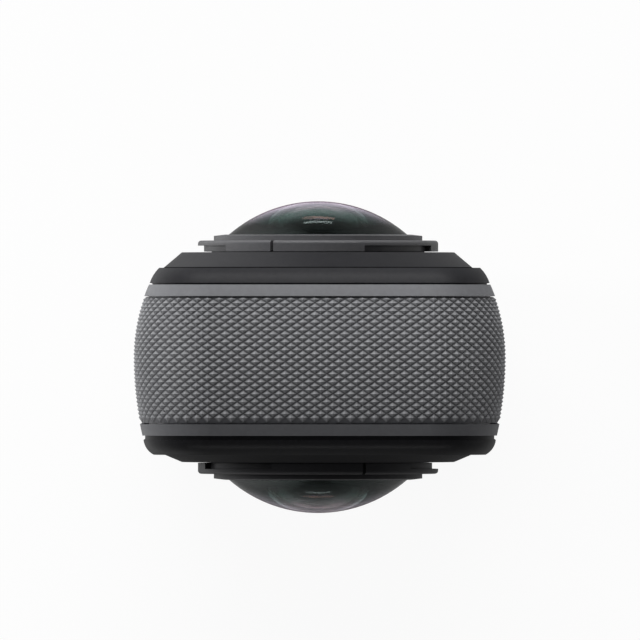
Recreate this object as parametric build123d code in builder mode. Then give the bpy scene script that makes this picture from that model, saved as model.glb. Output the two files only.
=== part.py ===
from build123d import *
import os
from math import cos, radians, sin, sqrt

# A pocket 360 degree camera: an upright body with a fisheye lens on each broad face.
# X runs across the body, Y along the lenses' axis with the front lens at +Y, and Z up.
# The origin is in the middle of the base. All lengths are in millimetres.

# Whole body
body_width = 46.0
body_height = 124.5
corner_radius = 9.4
base_trim = 1.0             # depth that the flat base cuts off the curved outline
front_barrel_radius = 22.0  # sections of the sides, seen from above
rear_barrel_radius = 42.6
overrun = 1.0               # how far cutting shapes pass beyond what they cut

# Depths of the rings round the body, from the mid plane
band_front_y = 7.45
band_rear_y = -8.08
front_trim_seam = 0.12
front_trim_width = 1.42
front_cover_seam = 0.20
front_rim_height = 1.87
rear_trim_seam = 0.16
rear_trim_width = 1.42
rear_groove_width = 0.54
rear_rim_height = 1.83

# Wall build-up, measured inwards from the widest outline
band_wall = 1.9
band_seat_gap = 0.05
frame_wall = 1.35
skirt_gap = 0.10
skirt_wall = 0.80
skirt_depth = 1.20
front_face_inset = 3.18
rear_face_inset = 2.50
groove_depth = 0.33
rim_swell_width = 0.10

# Covers and screen
front_plate_thickness = 1.30
rear_plate_thickness = 2.03
rib_width = 0.8
rib_height = 1.2
rib_count = 4
glass_thickness = 1.0
glass_gap = 0.06
glass_margin = 4.40         # from the widest outline to the glass
glass_bottom_z = 24.5
glass_corner_radius = 1.5
display_side_margin = 1.1
display_drop = 21.0         # from the lens's axis to its top
display_thickness = 1.5
display_bottom_z = 26.5
display_gap = 0.12

# Front grip pad, mesh and lamps
pad_side_margin = 9.2
pad_drop = 34.0             # from the lens's axis to its top
pad_bottom_z = 9.5
pad_corner_radius = 4.0
pad_recess = 0.50
pad_thickness = 0.80
pad_groove_width = 0.9
pad_groove_depth = 0.22
pad_groove_count = 12
pad_gap = 0.06
mesh_length = 20.0
mesh_height = 3.6
mesh_thickness = 0.40
mesh_recess = 0.60
mesh_ledge = 0.7
mesh_gap = 0.08
mesh_hole_radius = 0.45
mesh_hole_spacing = 1.55
mesh_hole_columns = 11
mesh_hole_rows = 2
mesh_drop = 26.1
lamp_length = 3.2
lamp_height = 1.0
lamp_gap = 0.05
lamp_drop = 21.3
lamp_flange = 0.5
lamp_flange_thickness = 0.5

# Lens seat on each cover, measured in from the body's side and up from the rear face
lens_x = -0.2
lens_side_margin = 3.8
seat_slope_width = 2.3
seat_height = 0.97
seat_lid_thickness = 0.65
seat_groove_height = 0.90
seat_floor_thickness = 0.55
seat_floor_width = 1.65
seat_bore_gap = 0.15
seat_groove_gap = 0.25
seat_entry_gap = 0.20
seat_spigot_setback = 1.3
seat_spigot_reach = 0.76    # past the back of the front plate
seat_spigot_wall = 1.0
seat_spigot_gap = 0.1

# Lens cover: three-lug ring, bezel and dome
ring_setback = 2.0          # from the seat's upper rim
ring_seat_gap = 0.10
ring_height = 1.36
ring_waist_depth = 0.75
ring_lip = 0.62
ring_edge_fillet = 0.40
ring_skirt_wall = 0.92
ring_skirt_length = 1.50
ring_ledge_width = 1.38
ring_ledge_thickness = 0.5
lug_setback = 0.9
lug_height = 0.8            # how far a lug stands out of the skirt
lug_thickness = 0.65
lug_count = 3
waist_start_angle = 22.7    # from the camera's top, turning anticlockwise seen from outside
waist_end_angle = 70.0
waist_far_start_angle = -112.0  # one of the three waists runs on to here, round the side
waist_slit_angle = -22.6
slit_width = 0.40
lug_angle = 13.0            # half the angle that one lug takes
lug_entry_angle = 16.0
lug_middle_angle = 0.0
lug_turn = 31.0             # turn that frees the cover
bezel_rim_width = 0.65
bezel_slope_width = 1.33
bezel_flat_width = 0.40
bezel_edge_height = 0.58
bezel_height = 0.74
bezel_clearance = 0.08
dome_gap = 0.08
dome_ledge_height = 0.30    # from the ring's foot to the glass
dome_edge_height = 0.725
dome_rise_share = 0.42664    # of the glass's edge radius
dome_thickness = 1.2
dome_hollow_share = 0.62

# Barrel and glasses behind the dome
barrel_mouth_drop = 0.40    # below the seat's top
barrel_mouth_height = 3.2
barrel_mouth_setback = 1.08
barrel_mouth_wall = 0.8
barrel_flare = 2.2
barrel_taper = 1.0
barrel_wall = 1.0
barrel_flange_setback = 0.8
barrel_flange = 1.15
barrel_cavity = 1.5
barrel_stop = 1.0
barrel_bore_share = 0.6
barrel_stop_share = 0.33
inner_seat_share = 0.744
inner_element_gap = 0.1
inner_element_drop = 1.2
inner_element_edge = 0.72
inner_element_thickness = 1.0
inner_rise_share = 0.74
inner_hollow_share = 0.757
field_gap = 0.1
field_stop_gap = 0.15
field_edge = 2.0
field_rise_height = 0.7
seal_section_radius = 0.42
seal_gap = 0.08
seal_depth = 0.5            # from the barrel's mouth to the ring's middle

# Sensors, boards and web of the frame
web_thickness = 1.5
web_drop = 17.5             # from the lens's axis
web_hole_radius = 3.0
web_hole_margin = 1.2
web_hole_drop = 12.5
spreader_thickness = 0.30
spreader_side_margin = 2.0
spreader_end_margin = 4.0
sensor_board_margin = 0.6
sensor_board_thickness = 0.80
sensor_diagonal_gap = 0.38
sensor_diagonal_angle = 38.06
sensor_thickness = 1.10
sensor_window_inset = 1.0
sensor_window_depth = 0.2

# Battery bay, pack and door in the left side
bay_bottom_z = 15.0
bay_drop = 34.5             # from the lens's axis to its roof
bay_half_depth = 6.1
bay_side_room = 4.2         # for the side buttons' board and switches
bay_wall = 0.7
bay_corner_radius = 1.2
pack_gap = 0.40
pack_end_gap = 0.40
pack_roof_gap = 1.0         # under the card socket
pack_corner_radius = 0.9
neck_thickness = 1.8
neck_gap = 0.40
battery_seal_width = 0.8
battery_seal_depth = 0.6
battery_seal_reach = 0.25
door_gap = 0.15
door_thickness = 1.8
door_margin = 6.2           # from the bay's opening to the end of the door
door_half_depth = 6.7
door_corner_radius = 3.0

# Latches of the battery door
latch_travel = 1.8
latch_wall = 0.8            # frame left between the bay and the latch pocket
tongue_gap = 0.2
tongue_length = 3.0
tongue_thickness = 0.75
tongue_width = 6.0
lip_thickness = 0.45
stem_length = 1.2
stem_width = 2.8
slider_length = 3.0
slider_width = 8.0
slider_sink = 0.35
slider_recess = 1.2
slider_gap = 0.3
slider_back_gap = 0.12
slider_groove_width = 0.35
slider_groove_depth = 0.25
slider_groove_count = 3
latch_boss_wall = 0.9

# Battery contacts, card socket and card
contact_block_depth = 6.0
contact_block_height = 8.0
contact_block_thickness = 1.9
contact_block_rise = 4.3   # from the bay's floor
contact_reach = 0.30
contact_width = 0.9
contact_height = 1.2
contact_count = 4
contact_gap = 0.05
card_length = 15.0
card_width = 11.0
card_thickness = 1.0
card_sink = 4.45            # from the frame's side to the card's edge
card_shown = 1.2
card_corner = 1.6
card_gap = 0.12
socket_wall = 0.28
socket_end_wall = 0.8

# Socket for the cable, with its door
usb_drop = 25.7             # from the lens's axis
usb_shell_height = 8.94
usb_shell_depth = 3.26
usb_shell_wall = 0.25
usb_shell_length = 7.3
usb_cavity_length = 6.2
usb_tongue_height = 6.7
usb_tongue_depth = 0.7
usb_tongue_length = 5.2
usb_mouth_gap = 0.1
usb_board_thickness = 0.8
usb_board_height = 12.0
usb_board_length = 10.0
usb_shelf_thickness = 0.9
usb_shelf_length = 4.5
usb_opening_height = 11.2
usb_opening_depth = 5.0
usb_plug_height = 9.8
usb_plug_depth = 4.2
usb_plug_thickness = 1.2
usb_door_height = 13.6
usb_door_half_depth = 4.3
usb_door_corner_radius = 1.6
usb_door_gap = 0.18
hinge_radius = 1.0
hinge_sink = 0.2
hinge_pin_radius = 0.45
hinge_pin_gap = 0.05
hinge_pin_reach = 0.9
nail_notch_width = 5.0
nail_notch_height = 0.8

# Buttons
side_button_length = 9.0
side_button_width = 3.8
side_button_sink = 0.15
side_button_gap = 0.15
side_button_fillet = 0.35
power_button_drop = 16.2    # below the cable socket
quick_button_drop = 28.4
side_flange_margin = 0.5
side_flange_thickness = 0.4
side_flange_gap = 0.1
plunger_radius = 0.9
plunger_gap = 0.15
rear_button_radius = 4.8
rear_button_gap = 0.15
rear_button_x = 8.2
rear_button_z = 14.2
rear_button_proud = 0.20
rear_button_dish = 0.25
rear_button_dish_radius = 3.7
rear_button_fillet = 0.25
rear_flange_margin = 0.8
rear_flange_thickness = 0.45
rear_flange_gap = 0.05
button_travel = 0.40
switch_gap = 0.45           # from a button at rest to its switch
switch_size = 3.6
switch_body = 0.75
switch_nub_radius = 0.9
switch_nub = 0.25

# Main board and what is on it
board_thickness = 0.6
board_clearance = 0.3
board_side_gap = 1.5
board_bottom_z = 9.2
board_drop = 20.9           # from the lens's axis to its top
board_corner = 3.0
board_post_radius = 1.2
can_width = 22.0
can_height = 24.0
can_depth = 1.2
can_wall = 0.2
can_x = -3.0
can_rise = 2.1              # above the board's middle
chip_size = 7.0
chip_height = 0.9
connector_width = 6.0
connector_height = 3.0
connector_depth = 0.9
connector_drop = 3.6
connector_x = 5.0
flex_thickness = 0.16
flex_width = 4.4
flex_bend = 0.7
display_flex_bend = 0.55
flex_drop = 2.6
display_flex_width = 10.0
display_flex_up = 6.0
display_flex_down = 3.1
display_flex_gap = 0.05
side_board_thickness = 0.4
side_board_width = 4.6
side_board_margin = 2.6

# Sound
speaker_width = 10.0
speaker_height = 6.4
speaker_depth = 3.0
speaker_x = -4.6
speaker_cone_share = 0.36
speaker_cone_depth = 0.5
mic_width = 3.5
mic_height = 2.65
mic_depth = 1.0
mic_x = 6.6
rear_mic_margin = 2.2       # from the board's side
mic_port_radius = 0.45

# Base
base_plate_margin = 7.0     # from the widest outline
base_plate_depth = 12.4
base_plate_corner = 3.0
base_plate_gap = 0.10
tripod_thread_radius = 2.6      # tapping bore of the quarter inch, 20 per inch thread
tripod_thread_depth = 6.6
tripod_mouth_chamfer = 0.5
tripod_body_radius = 5.0
tripod_collar_radius = 3.6
tripod_sink = 0.15
tripod_end_wall = 0.8
tripod_gap = 0.05
tripod_boss_wall = 1.5
foot_slot_width = 2.2
foot_slot_depth = 6.0
foot_slot_setback = 3.6     # from the striker to the slot
foot_slot_sink = 0.9
striker_width = 2.6
striker_depth = 7.0
striker_thickness = 0.9
striker_margin = 4.0        # from the plate's end

# Screws of the front cover, driven from behind through lugs of the frame
screw_shank_radius = 0.80
screw_head_radius = 1.40
screw_head_height = 0.90
screw_gap = 0.06
screw_bite = 2.6
screw_lug_radius = 2.2
screw_lug_sink = 0.3
screw_lug_front_y = 6.0
screw_lug_thickness = 3.0
screw_boss_radius = 1.7

# Places worked out from the sizes above
half_width = body_width / 2
outline_height = body_height + base_trim
outline_middle = (body_height - base_trim) / 2
corner_x = half_width - corner_radius
corner_high = body_height - corner_radius
corner_low = corner_radius - base_trim
side_y = (band_front_y + band_rear_y) / 2
frame_outer = band_wall + band_seat_gap
frame_inner = frame_outer + frame_wall
frame_outer_x = half_width - frame_outer
frame_inner_x = half_width - frame_inner
band_inner_x = half_width - band_wall
skirt_outer_x = frame_inner_x - skirt_gap
skirt_inner_x = skirt_outer_x - skirt_wall
skirt_inset = half_width - skirt_inner_x
front_trim_start = band_front_y + front_trim_seam
front_trim_end = front_trim_start + front_trim_width
front_rim_y = front_trim_end + front_cover_seam
front_face_y = front_rim_y + front_rim_height
front_plate_back = front_face_y - front_plate_thickness
rear_trim_start = band_rear_y - rear_trim_seam
rear_trim_end = rear_trim_start - rear_trim_width
rear_rim_y = rear_trim_end - rear_groove_width
rear_face_y = rear_rim_y - rear_rim_height
rear_plate_back = rear_face_y + rear_plate_thickness
glass_back_y = rear_face_y + glass_thickness
display_back_y = glass_back_y + display_thickness
lens_z = body_height - half_width
lens_place = (lens_x, lens_z)
seat_base_radius = half_width - lens_side_margin
seat_top_radius = seat_base_radius - seat_slope_width
seat_top = -rear_face_y + seat_height
seat_groove_top = seat_top - seat_lid_thickness
seat_groove_floor = seat_groove_top - seat_groove_height
seat_floor = seat_groove_floor - seat_floor_thickness
seat_spigot_radius = seat_top_radius - seat_spigot_setback
seat_spigot_bore = seat_spigot_radius - seat_spigot_wall
seat_spigot_foot = front_plate_back - seat_spigot_reach
ring_outer_radius = seat_top_radius - ring_setback
ring_waist_radius = ring_outer_radius - ring_waist_depth
ring_foot = seat_top + ring_seat_gap
ring_top = ring_foot + ring_height
lug_radius = ring_outer_radius - lug_setback
ring_skirt_radius = lug_radius - lug_height
ring_skirt_foot = ring_foot - ring_skirt_length
ring_bore_radius = ring_skirt_radius - ring_skirt_wall
ring_ledge_radius = ring_bore_radius - ring_ledge_width
seat_bore_radius = ring_skirt_radius + seat_bore_gap
seat_groove_radius = lug_radius + seat_groove_gap
seat_entry_radius = lug_radius + seat_entry_gap
seat_floor_radius = seat_bore_radius - seat_floor_width
dome_edge_radius = ring_bore_radius - dome_gap
dome_foot = ring_foot + dome_ledge_height
dome_rise = dome_edge_radius * dome_rise_share
dome_hollow_radius = dome_edge_radius * dome_hollow_share
dome_apex = dome_foot + dome_edge_height + dome_rise
dome_radius = (dome_rise**2 + dome_edge_radius**2) / (2 * dome_rise)
dome_centre = dome_apex - dome_radius
bezel_outer_radius = ring_bore_radius + bezel_rim_width
bezel_flat_radius = bezel_outer_radius - bezel_slope_width
bezel_bore_radius = bezel_flat_radius - bezel_flat_width
bezel_edge = ring_top + bezel_edge_height
bezel_top = ring_top + bezel_height
barrel_mouth = seat_top - barrel_mouth_drop
barrel_neck = barrel_mouth - barrel_mouth_height
barrel_mouth_radius = ring_bore_radius - barrel_mouth_setback
barrel_mouth_bore = barrel_mouth_radius - barrel_mouth_wall
barrel_flange_radius = barrel_mouth_radius - barrel_flange_setback
barrel_body_radius = barrel_mouth_radius - barrel_flare
barrel_cavity_radius = barrel_body_radius - barrel_wall
barrel_bore_radius = barrel_body_radius * barrel_bore_share
barrel_stop_radius = barrel_body_radius * barrel_stop_share
inner_seat_radius = barrel_body_radius * inner_seat_share
inner_element_radius = inner_seat_radius - inner_element_gap
inner_element_foot = barrel_mouth - inner_element_drop
inner_element_rise = inner_element_radius * inner_rise_share
inner_element_apex = inner_element_foot + inner_element_edge + inner_element_rise
inner_element_curve = (inner_element_rise**2 + inner_element_radius**2) / (2 * inner_element_rise)
inner_element_hollow = inner_element_radius * inner_hollow_share
field_radius = barrel_bore_radius - field_gap
sensor_board_size = 2 * (barrel_flange_radius + sensor_board_margin)
sensor_diagonal = 2 * (barrel_cavity_radius - sensor_diagonal_gap)
sensor_width = sensor_diagonal * cos(radians(sensor_diagonal_angle))
sensor_height = sensor_diagonal * sin(radians(sensor_diagonal_angle))
spreader_width = sensor_board_size + 2 * spreader_side_margin
spreader_height = sensor_board_size + 2 * spreader_end_margin
web_hole_x = spreader_width / 2 + web_hole_margin
web_bottom_z = lens_z - web_drop
spreader_face = web_thickness / 2 + spreader_thickness
sensor_board_face = spreader_face + sensor_board_thickness
sensor_face = sensor_board_face + sensor_thickness
field_foot = sensor_board_face + barrel_cavity + barrel_stop + field_rise_height + field_stop_gap
display_width = body_width - 2 * (glass_margin + display_side_margin)
display_height = lens_z - display_drop - display_bottom_z
pad_width = body_width - 2 * pad_side_margin
pad_height = lens_z - pad_drop - pad_bottom_z
mesh_z = lens_z - mesh_drop
lamp_front_z = lens_z - lamp_drop
bay_top_z = lens_z - bay_drop
bay_end_x = frame_inner_x - bay_side_room
board_half_width = frame_inner_x - board_side_gap
board_top_z = lens_z - board_drop
can_z = (board_bottom_z + board_top_z) / 2 + can_rise
connector_z = board_top_z - connector_drop
usb_z = lens_z - usb_drop
side_button_places = {"power": usb_z - power_button_drop, "quick": usb_z - quick_button_drop}
rear_mic_x = board_half_width - rear_mic_margin
base_plate_width = body_width - 2 * base_plate_margin
striker_x = base_plate_width / 2 - striker_margin
foot_slot_x = striker_x - foot_slot_setback
contact_block_z = bay_bottom_z + contact_block_rise
bay_rear_y = side_y - bay_half_depth
bay_middle_z = (bay_bottom_z + bay_top_z) / 2
bay_height = bay_top_z - bay_bottom_z
door_height = bay_height + 2 * door_margin
door_back_x = half_width - door_thickness
neck_back_x = door_back_x - neck_thickness
pocket_start = bay_height / 2 + latch_wall
tongue_start = pocket_start + tongue_gap
lip_start = tongue_start + tongue_length + tongue_gap
pocket_end = tongue_start + tongue_length + latch_travel + 3 * tongue_gap
tongue_outer_x = frame_outer_x - lip_thickness - tongue_gap / 2
pocket_floor_x = tongue_outer_x - tongue_thickness - tongue_gap
socket_height = card_thickness + 2 * card_gap + 2 * socket_wall
card_z = bay_top_z - socket_height / 2
pack_top_z = bay_top_z - socket_height - pack_roof_gap
card_edge_x = card_sink - frame_outer_x
socket_width = card_width + 2 * (card_gap + socket_wall)
socket_front_x = card_edge_x + card_shown
socket_length = card_length - card_shown + card_gap + socket_end_wall
hinge_x = half_width - hinge_radius - hinge_sink
usb_door_bottom_z = usb_z - usb_door_height / 2
usb_door_top_z = usb_z + usb_door_height / 2
hinge_z = usb_door_bottom_z + hinge_radius
hinge_pocket_radius = hinge_radius + hinge_sink + usb_door_gap
usb_window_bottom_z = hinge_z - hinge_pocket_radius
usb_mouth_x = frame_inner_x - usb_mouth_gap
usb_board_top_y = side_y - usb_shell_depth / 2
board_front_y = bay_rear_y - bay_wall - board_clearance
board_back_y = board_front_y - board_thickness
side_cap_x = half_width - side_button_sink
side_flange_x = band_inner_x - side_flange_gap
side_pocket_x = side_flange_x - side_flange_thickness - button_travel - side_flange_gap
side_board_x = bay_end_x + bay_wall
switch_height = switch_body + switch_nub
side_plunger_x = side_board_x + side_board_thickness + switch_height + switch_gap
rear_flange_y = rear_plate_back + rear_flange_gap
band_bottom_z = band_wall - base_trim
frame_floor_z = frame_outer - base_trim
tripod_top_z = tripod_sink + tripod_thread_depth + tripod_end_wall
lug_reach = corner_radius - frame_inner - screw_lug_radius + screw_lug_sink
screw_places = [
    (side * (corner_x + lug_reach * cos(radians(45))), corner + end * lug_reach * sin(radians(45)))
    for side in (-1, 1)
    for end, corner in ((-1, corner_low), (1, corner_high))
]

section_plane = Plane.XY.offset(outline_middle)


def face_plane(y):
    """Plane across the camera at depth y, with X to the right, Z up and its normal to the rear."""
    return Plane.XZ.offset(-y)


def side_plane(x):
    """Plane along the camera's side at x, with Y to the right, Z up and its normal to +X."""
    return Plane.YZ.offset(x)


def side_inset(y):
    """How far the barrel-shaped side has curved in at depth y."""
    radius = front_barrel_radius if y >= 0 else rear_barrel_radius
    return radius - sqrt(radius**2 - y**2)


def side_x(y):
    """Half the width of the body at depth y."""
    return half_width - side_inset(y)


def outline_face(y, inset):
    """The body's rounded outline at depth y, drawn in by inset all round."""
    with BuildSketch(face_plane(y)) as face:
        with Locations((0, outline_middle)):
            RectangleRounded(body_width - 2 * inset, outline_height - 2 * inset, corner_radius - inset)
    return face.sketch


def screen_face(y, gap):
    """The outline of the screen glass at depth y, made smaller by gap."""
    inset = glass_margin + gap
    with BuildSketch(face_plane(y)) as face:
        with Locations((0, outline_middle)):
            RectangleRounded(body_width - 2 * inset, outline_height - 2 * inset, corner_radius - inset)
        with Locations((0, glass_bottom_z + gap)):
            Rectangle(body_width, body_height, align=(Align.CENTER, Align.MIN), mode=Mode.INTERSECT)
        fillet(face.vertices().group_by(Axis.Y)[0], glass_corner_radius)
    return face.sketch


def ring_section(y_rear, y_front, inset):
    """Section of a ring round the body: the barrel's curve outside and flat inside."""
    stations = [y_rear, 0, y_front] if y_rear < 0 < y_front else [y_rear, y_front]
    inner_x = half_width - inset
    with BuildSketch(section_plane) as section:
        with BuildLine():
            for low, high in zip(stations, stations[1:]):
                middle = (low + high) / 2
                ThreePointArc((side_x(low), low), (side_x(middle), middle), (side_x(high), high))
            Polyline(
                (side_x(y_front), y_front), (inner_x, y_front), (inner_x, y_rear), (side_x(y_rear), y_rear)
            )
        make_face()
    return section.sketch


def save(piece, name):
    """Label a finished piece and write it."""
    piece.part.label = name
    export_step(piece.part, f"parts/{name}.step")


os.makedirs("parts", exist_ok=True)

# The path that every ring round the body follows
with BuildLine(Plane.XZ) as outline:
    Line((half_width, outline_middle), (half_width, corner_high))
    CenterArc((corner_x, corner_high), corner_radius, 0, 90)
    Line((corner_x, body_height), (-corner_x, body_height))
    CenterArc((-corner_x, corner_high), corner_radius, 90, 90)
    Line((-half_width, corner_high), (-half_width, corner_low))
    CenterArc((-corner_x, corner_low), corner_radius, 180, 90)
    Line((-corner_x, -base_trim), (corner_x, -base_trim))
    CenterArc((corner_x, corner_low), corner_radius, 270, 90)
    Line((half_width, corner_low), (half_width, outline_middle))
around = outline.wire()
band_section = ring_section(band_rear_y, band_front_y, band_wall)

# Cast frame: ring, lens web, battery bay, screw lugs, latch pockets and cable shelf
with BuildPart() as mid_frame:
    extrude(outline_face(front_trim_start, frame_outer), amount=front_trim_start - rear_trim_start)
    extrude(
        outline_face(front_trim_start, frame_inner),
        amount=front_trim_start - rear_trim_start,
        mode=Mode.SUBTRACT,
    )
    with BuildSketch(face_plane(web_thickness / 2)):
        with Locations((0, outline_middle)):
            web_inset = (frame_outer + frame_inner) / 2
            RectangleRounded(
                body_width - 2 * web_inset, outline_height - 2 * web_inset, corner_radius - web_inset
            )
        with Locations((0, web_bottom_z)):
            Rectangle(body_width, body_height, align=(Align.CENTER, Align.MIN), mode=Mode.INTERSECT)
        with Locations(
            (-web_hole_x, lens_z + web_hole_drop), (web_hole_x, lens_z + web_hole_drop),
            (-web_hole_x, lens_z - web_hole_drop), (web_hole_x, lens_z - web_hole_drop),
        ):
            Circle(web_hole_radius, mode=Mode.SUBTRACT)
    extrude(amount=web_thickness)
    with BuildSketch(side_plane(-(frame_outer_x + frame_inner_x) / 2)):
        with Locations((side_y, bay_middle_z)):
            RectangleRounded(
                2 * (bay_half_depth + bay_wall), bay_height + 2 * bay_wall, bay_corner_radius + bay_wall
            )
    extrude(amount=(frame_outer_x + frame_inner_x) / 2 + bay_end_x + bay_wall)
    with BuildSketch(side_plane(-(frame_outer_x + frame_inner_x) / 2)):
        for end in (-1, 1):
            with Locations((side_y, bay_middle_z + end * (pocket_start + pocket_end) / 2)):
                Rectangle(
                    tongue_width + 2 * latch_boss_wall,
                    pocket_end - pocket_start + 2 * latch_boss_wall,
                )
    extrude(amount=(frame_outer_x + frame_inner_x) / 2 - pocket_floor_x + latch_boss_wall)
    with BuildSketch(side_plane(-frame_outer_x - overrun)):
        with Locations((side_y, bay_middle_z)):
            RectangleRounded(2 * bay_half_depth, bay_height, bay_corner_radius)
    extrude(amount=frame_outer_x + overrun + bay_end_x, mode=Mode.SUBTRACT)
    with BuildSketch(side_plane(-frame_outer_x - overrun)):
        for end in (-1, 1):
            with Locations((side_y, bay_middle_z + end * (pocket_start + lip_start) / 2)):
                Rectangle(tongue_width + 2 * tongue_gap, lip_start - pocket_start)
    extrude(amount=frame_outer_x + overrun - pocket_floor_x, mode=Mode.SUBTRACT)
    with BuildSketch(side_plane(-frame_outer_x + lip_thickness)):
        for end in (-1, 1):
            with Locations((side_y, bay_middle_z + end * (pocket_start + pocket_end) / 2)):
                Rectangle(tongue_width + 2 * tongue_gap, pocket_end - pocket_start)
    extrude(amount=frame_outer_x - lip_thickness - pocket_floor_x, mode=Mode.SUBTRACT)
    with BuildSketch(side_plane(bay_end_x - overrun)):
        with Locations((side_y, contact_block_z)):
            Rectangle(contact_block_depth + 2 * contact_gap, contact_block_height + 2 * contact_gap)
    extrude(amount=2 * overrun + bay_wall, mode=Mode.SUBTRACT)
    with BuildSketch(side_plane(socket_front_x)):
        with Locations((side_y, card_z)):
            Rectangle(socket_width + 2 * contact_gap, socket_height)
    extrude(amount=socket_length + contact_gap, mode=Mode.SUBTRACT)
    with BuildSketch(face_plane(screw_lug_front_y)):
        with Locations(*screw_places):
            Circle(screw_lug_radius)
    extrude(amount=screw_lug_thickness)
    with BuildSketch(face_plane(screw_lug_front_y + overrun)):
        with Locations(*screw_places):
            Circle(screw_shank_radius + screw_gap)
    extrude(amount=screw_lug_thickness + 2 * overrun, mode=Mode.SUBTRACT)
    with BuildSketch(face_plane(bay_rear_y - bay_wall)):
        with Locations((0, bay_middle_z)):
            with GridLocations(board_half_width, bay_height - 2 * door_margin, 2, 2):
                Circle(board_post_radius)
    extrude(amount=board_clearance)
    with BuildSketch(face_plane(usb_board_top_y - usb_board_thickness)):
        with Locations(((frame_inner_x + frame_outer_x) / 2, usb_z)):
            Rectangle(usb_shelf_length, usb_board_height, align=(Align.MAX, Align.CENTER))
    extrude(amount=usb_shelf_thickness)
    with BuildSketch(side_plane(frame_inner_x - overrun)):
        with Locations((side_y, usb_z)):
            SlotOverall(usb_opening_height, usb_opening_depth, rotation=90)
    extrude(amount=frame_wall + 2 * overrun, mode=Mode.SUBTRACT)
    with BuildSketch(face_plane(side_y + usb_door_half_depth + usb_door_gap)):
        with Locations((hinge_x, hinge_z)):
            Circle(hinge_pocket_radius)
    extrude(amount=2 * (usb_door_half_depth + usb_door_gap), mode=Mode.SUBTRACT)
    for place_z in side_button_places.values():
        with BuildSketch(side_plane(side_pocket_x)):
            with Locations((side_y, place_z)):
                SlotOverall(
                    side_button_length + 2 * (side_flange_margin + side_button_gap),
                    side_button_width + 2 * (side_flange_margin + side_button_gap),
                    rotation=90,
                )
        extrude(amount=frame_wall + overrun, mode=Mode.SUBTRACT)
        with BuildSketch(side_plane(frame_inner_x - overrun)):
            with Locations((side_y, place_z)):
                Circle(plunger_radius + plunger_gap)
        extrude(amount=frame_wall + overrun, mode=Mode.SUBTRACT)
    with BuildSketch(Plane.XY.offset(frame_floor_z)):
        Circle(tripod_body_radius + tripod_boss_wall)
    extrude(amount=tripod_top_z + tripod_end_wall - frame_floor_z)
    with BuildSketch(Plane.XY.offset(frame_floor_z - overrun)):
        Circle(tripod_body_radius + tripod_gap)
    extrude(amount=tripod_top_z + tripod_gap - frame_floor_z + overrun, mode=Mode.SUBTRACT)
    with BuildSketch(Plane.XY.offset(frame_floor_z - overrun)):
        with Locations((-foot_slot_x, side_y), (foot_slot_x, side_y)):
            Rectangle(foot_slot_width, foot_slot_depth)
    extrude(amount=overrun + foot_slot_sink, mode=Mode.SUBTRACT)
    with BuildSketch(Plane.XY.offset(frame_floor_z - overrun)):
        with Locations((-striker_x, side_y), (striker_x, side_y)):
            Rectangle(striker_width + 2 * base_plate_gap, striker_depth + 2 * base_plate_gap)
    extrude(amount=overrun + striker_thickness, mode=Mode.SUBTRACT)
save(mid_frame, "mid_frame")

# Grip band with its openings for the battery door, the cable door, the buttons and the base
with BuildPart() as knurled_band:
    sweep(sections=band_section, path=around)
    split(bisect_by=Plane.XY, keep=Keep.TOP)
    with BuildSketch(side_plane(-half_width - overrun)):
        with Locations((side_y, bay_middle_z)):
            RectangleRounded(
                2 * (door_half_depth + door_gap), door_height + 2 * door_gap, door_corner_radius + door_gap
            )
    extrude(amount=band_wall + 2 * overrun, mode=Mode.SUBTRACT)
    with BuildSketch(side_plane(band_inner_x - overrun)):
        with Locations((side_y, (usb_window_bottom_z + usb_door_top_z + usb_door_gap) / 2)):
            RectangleRounded(
                2 * (usb_door_half_depth + usb_door_gap),
                usb_door_top_z + usb_door_gap - usb_window_bottom_z,
                usb_door_corner_radius + usb_door_gap,
            )
        with Locations((side_y, usb_door_top_z + usb_door_gap)):
            Rectangle(nail_notch_width, 2 * nail_notch_height)
        for place_z in side_button_places.values():
            with Locations((side_y, place_z)):
                SlotOverall(
                    side_button_length + 2 * side_button_gap,
                    side_button_width + 2 * side_button_gap,
                    rotation=90,
                )
    extrude(amount=band_wall + 2 * overrun, mode=Mode.SUBTRACT)
    with BuildSketch(face_plane(side_y + usb_door_half_depth + usb_door_gap)):
        with Locations((hinge_x, hinge_z)):
            Circle(hinge_pocket_radius)
    extrude(amount=2 * (usb_door_half_depth + usb_door_gap), mode=Mode.SUBTRACT)
    with BuildSketch(face_plane(side_y + usb_door_half_depth + usb_door_gap + hinge_pin_reach)):
        with Locations((hinge_x, hinge_z)):
            Circle(hinge_pin_radius)
    extrude(
        amount=2 * (usb_door_half_depth + usb_door_gap + hinge_pin_reach), mode=Mode.SUBTRACT
    )
    with BuildSketch(Plane.XY.offset(-overrun)):
        with Locations((0, side_y)):
            RectangleRounded(
                base_plate_width + 2 * base_plate_gap,
                base_plate_depth + 2 * base_plate_gap,
                base_plate_corner + base_plate_gap,
            )
    extrude(amount=band_bottom_z + 2 * overrun, mode=Mode.SUBTRACT)
save(knurled_band, "knurled_band")

# Plain rings on both sides of the grip band
with BuildPart() as front_trim:
    sweep(sections=ring_section(front_trim_start, front_trim_end, frame_inner), path=around)
    split(bisect_by=Plane.XY, keep=Keep.TOP)
save(front_trim, "front_trim")

with BuildPart() as rear_trim:
    sweep(sections=ring_section(rear_trim_end, rear_trim_start, frame_inner), path=around)
    split(bisect_by=Plane.XY, keep=Keep.TOP)
save(rear_trim, "rear_trim")

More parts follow.
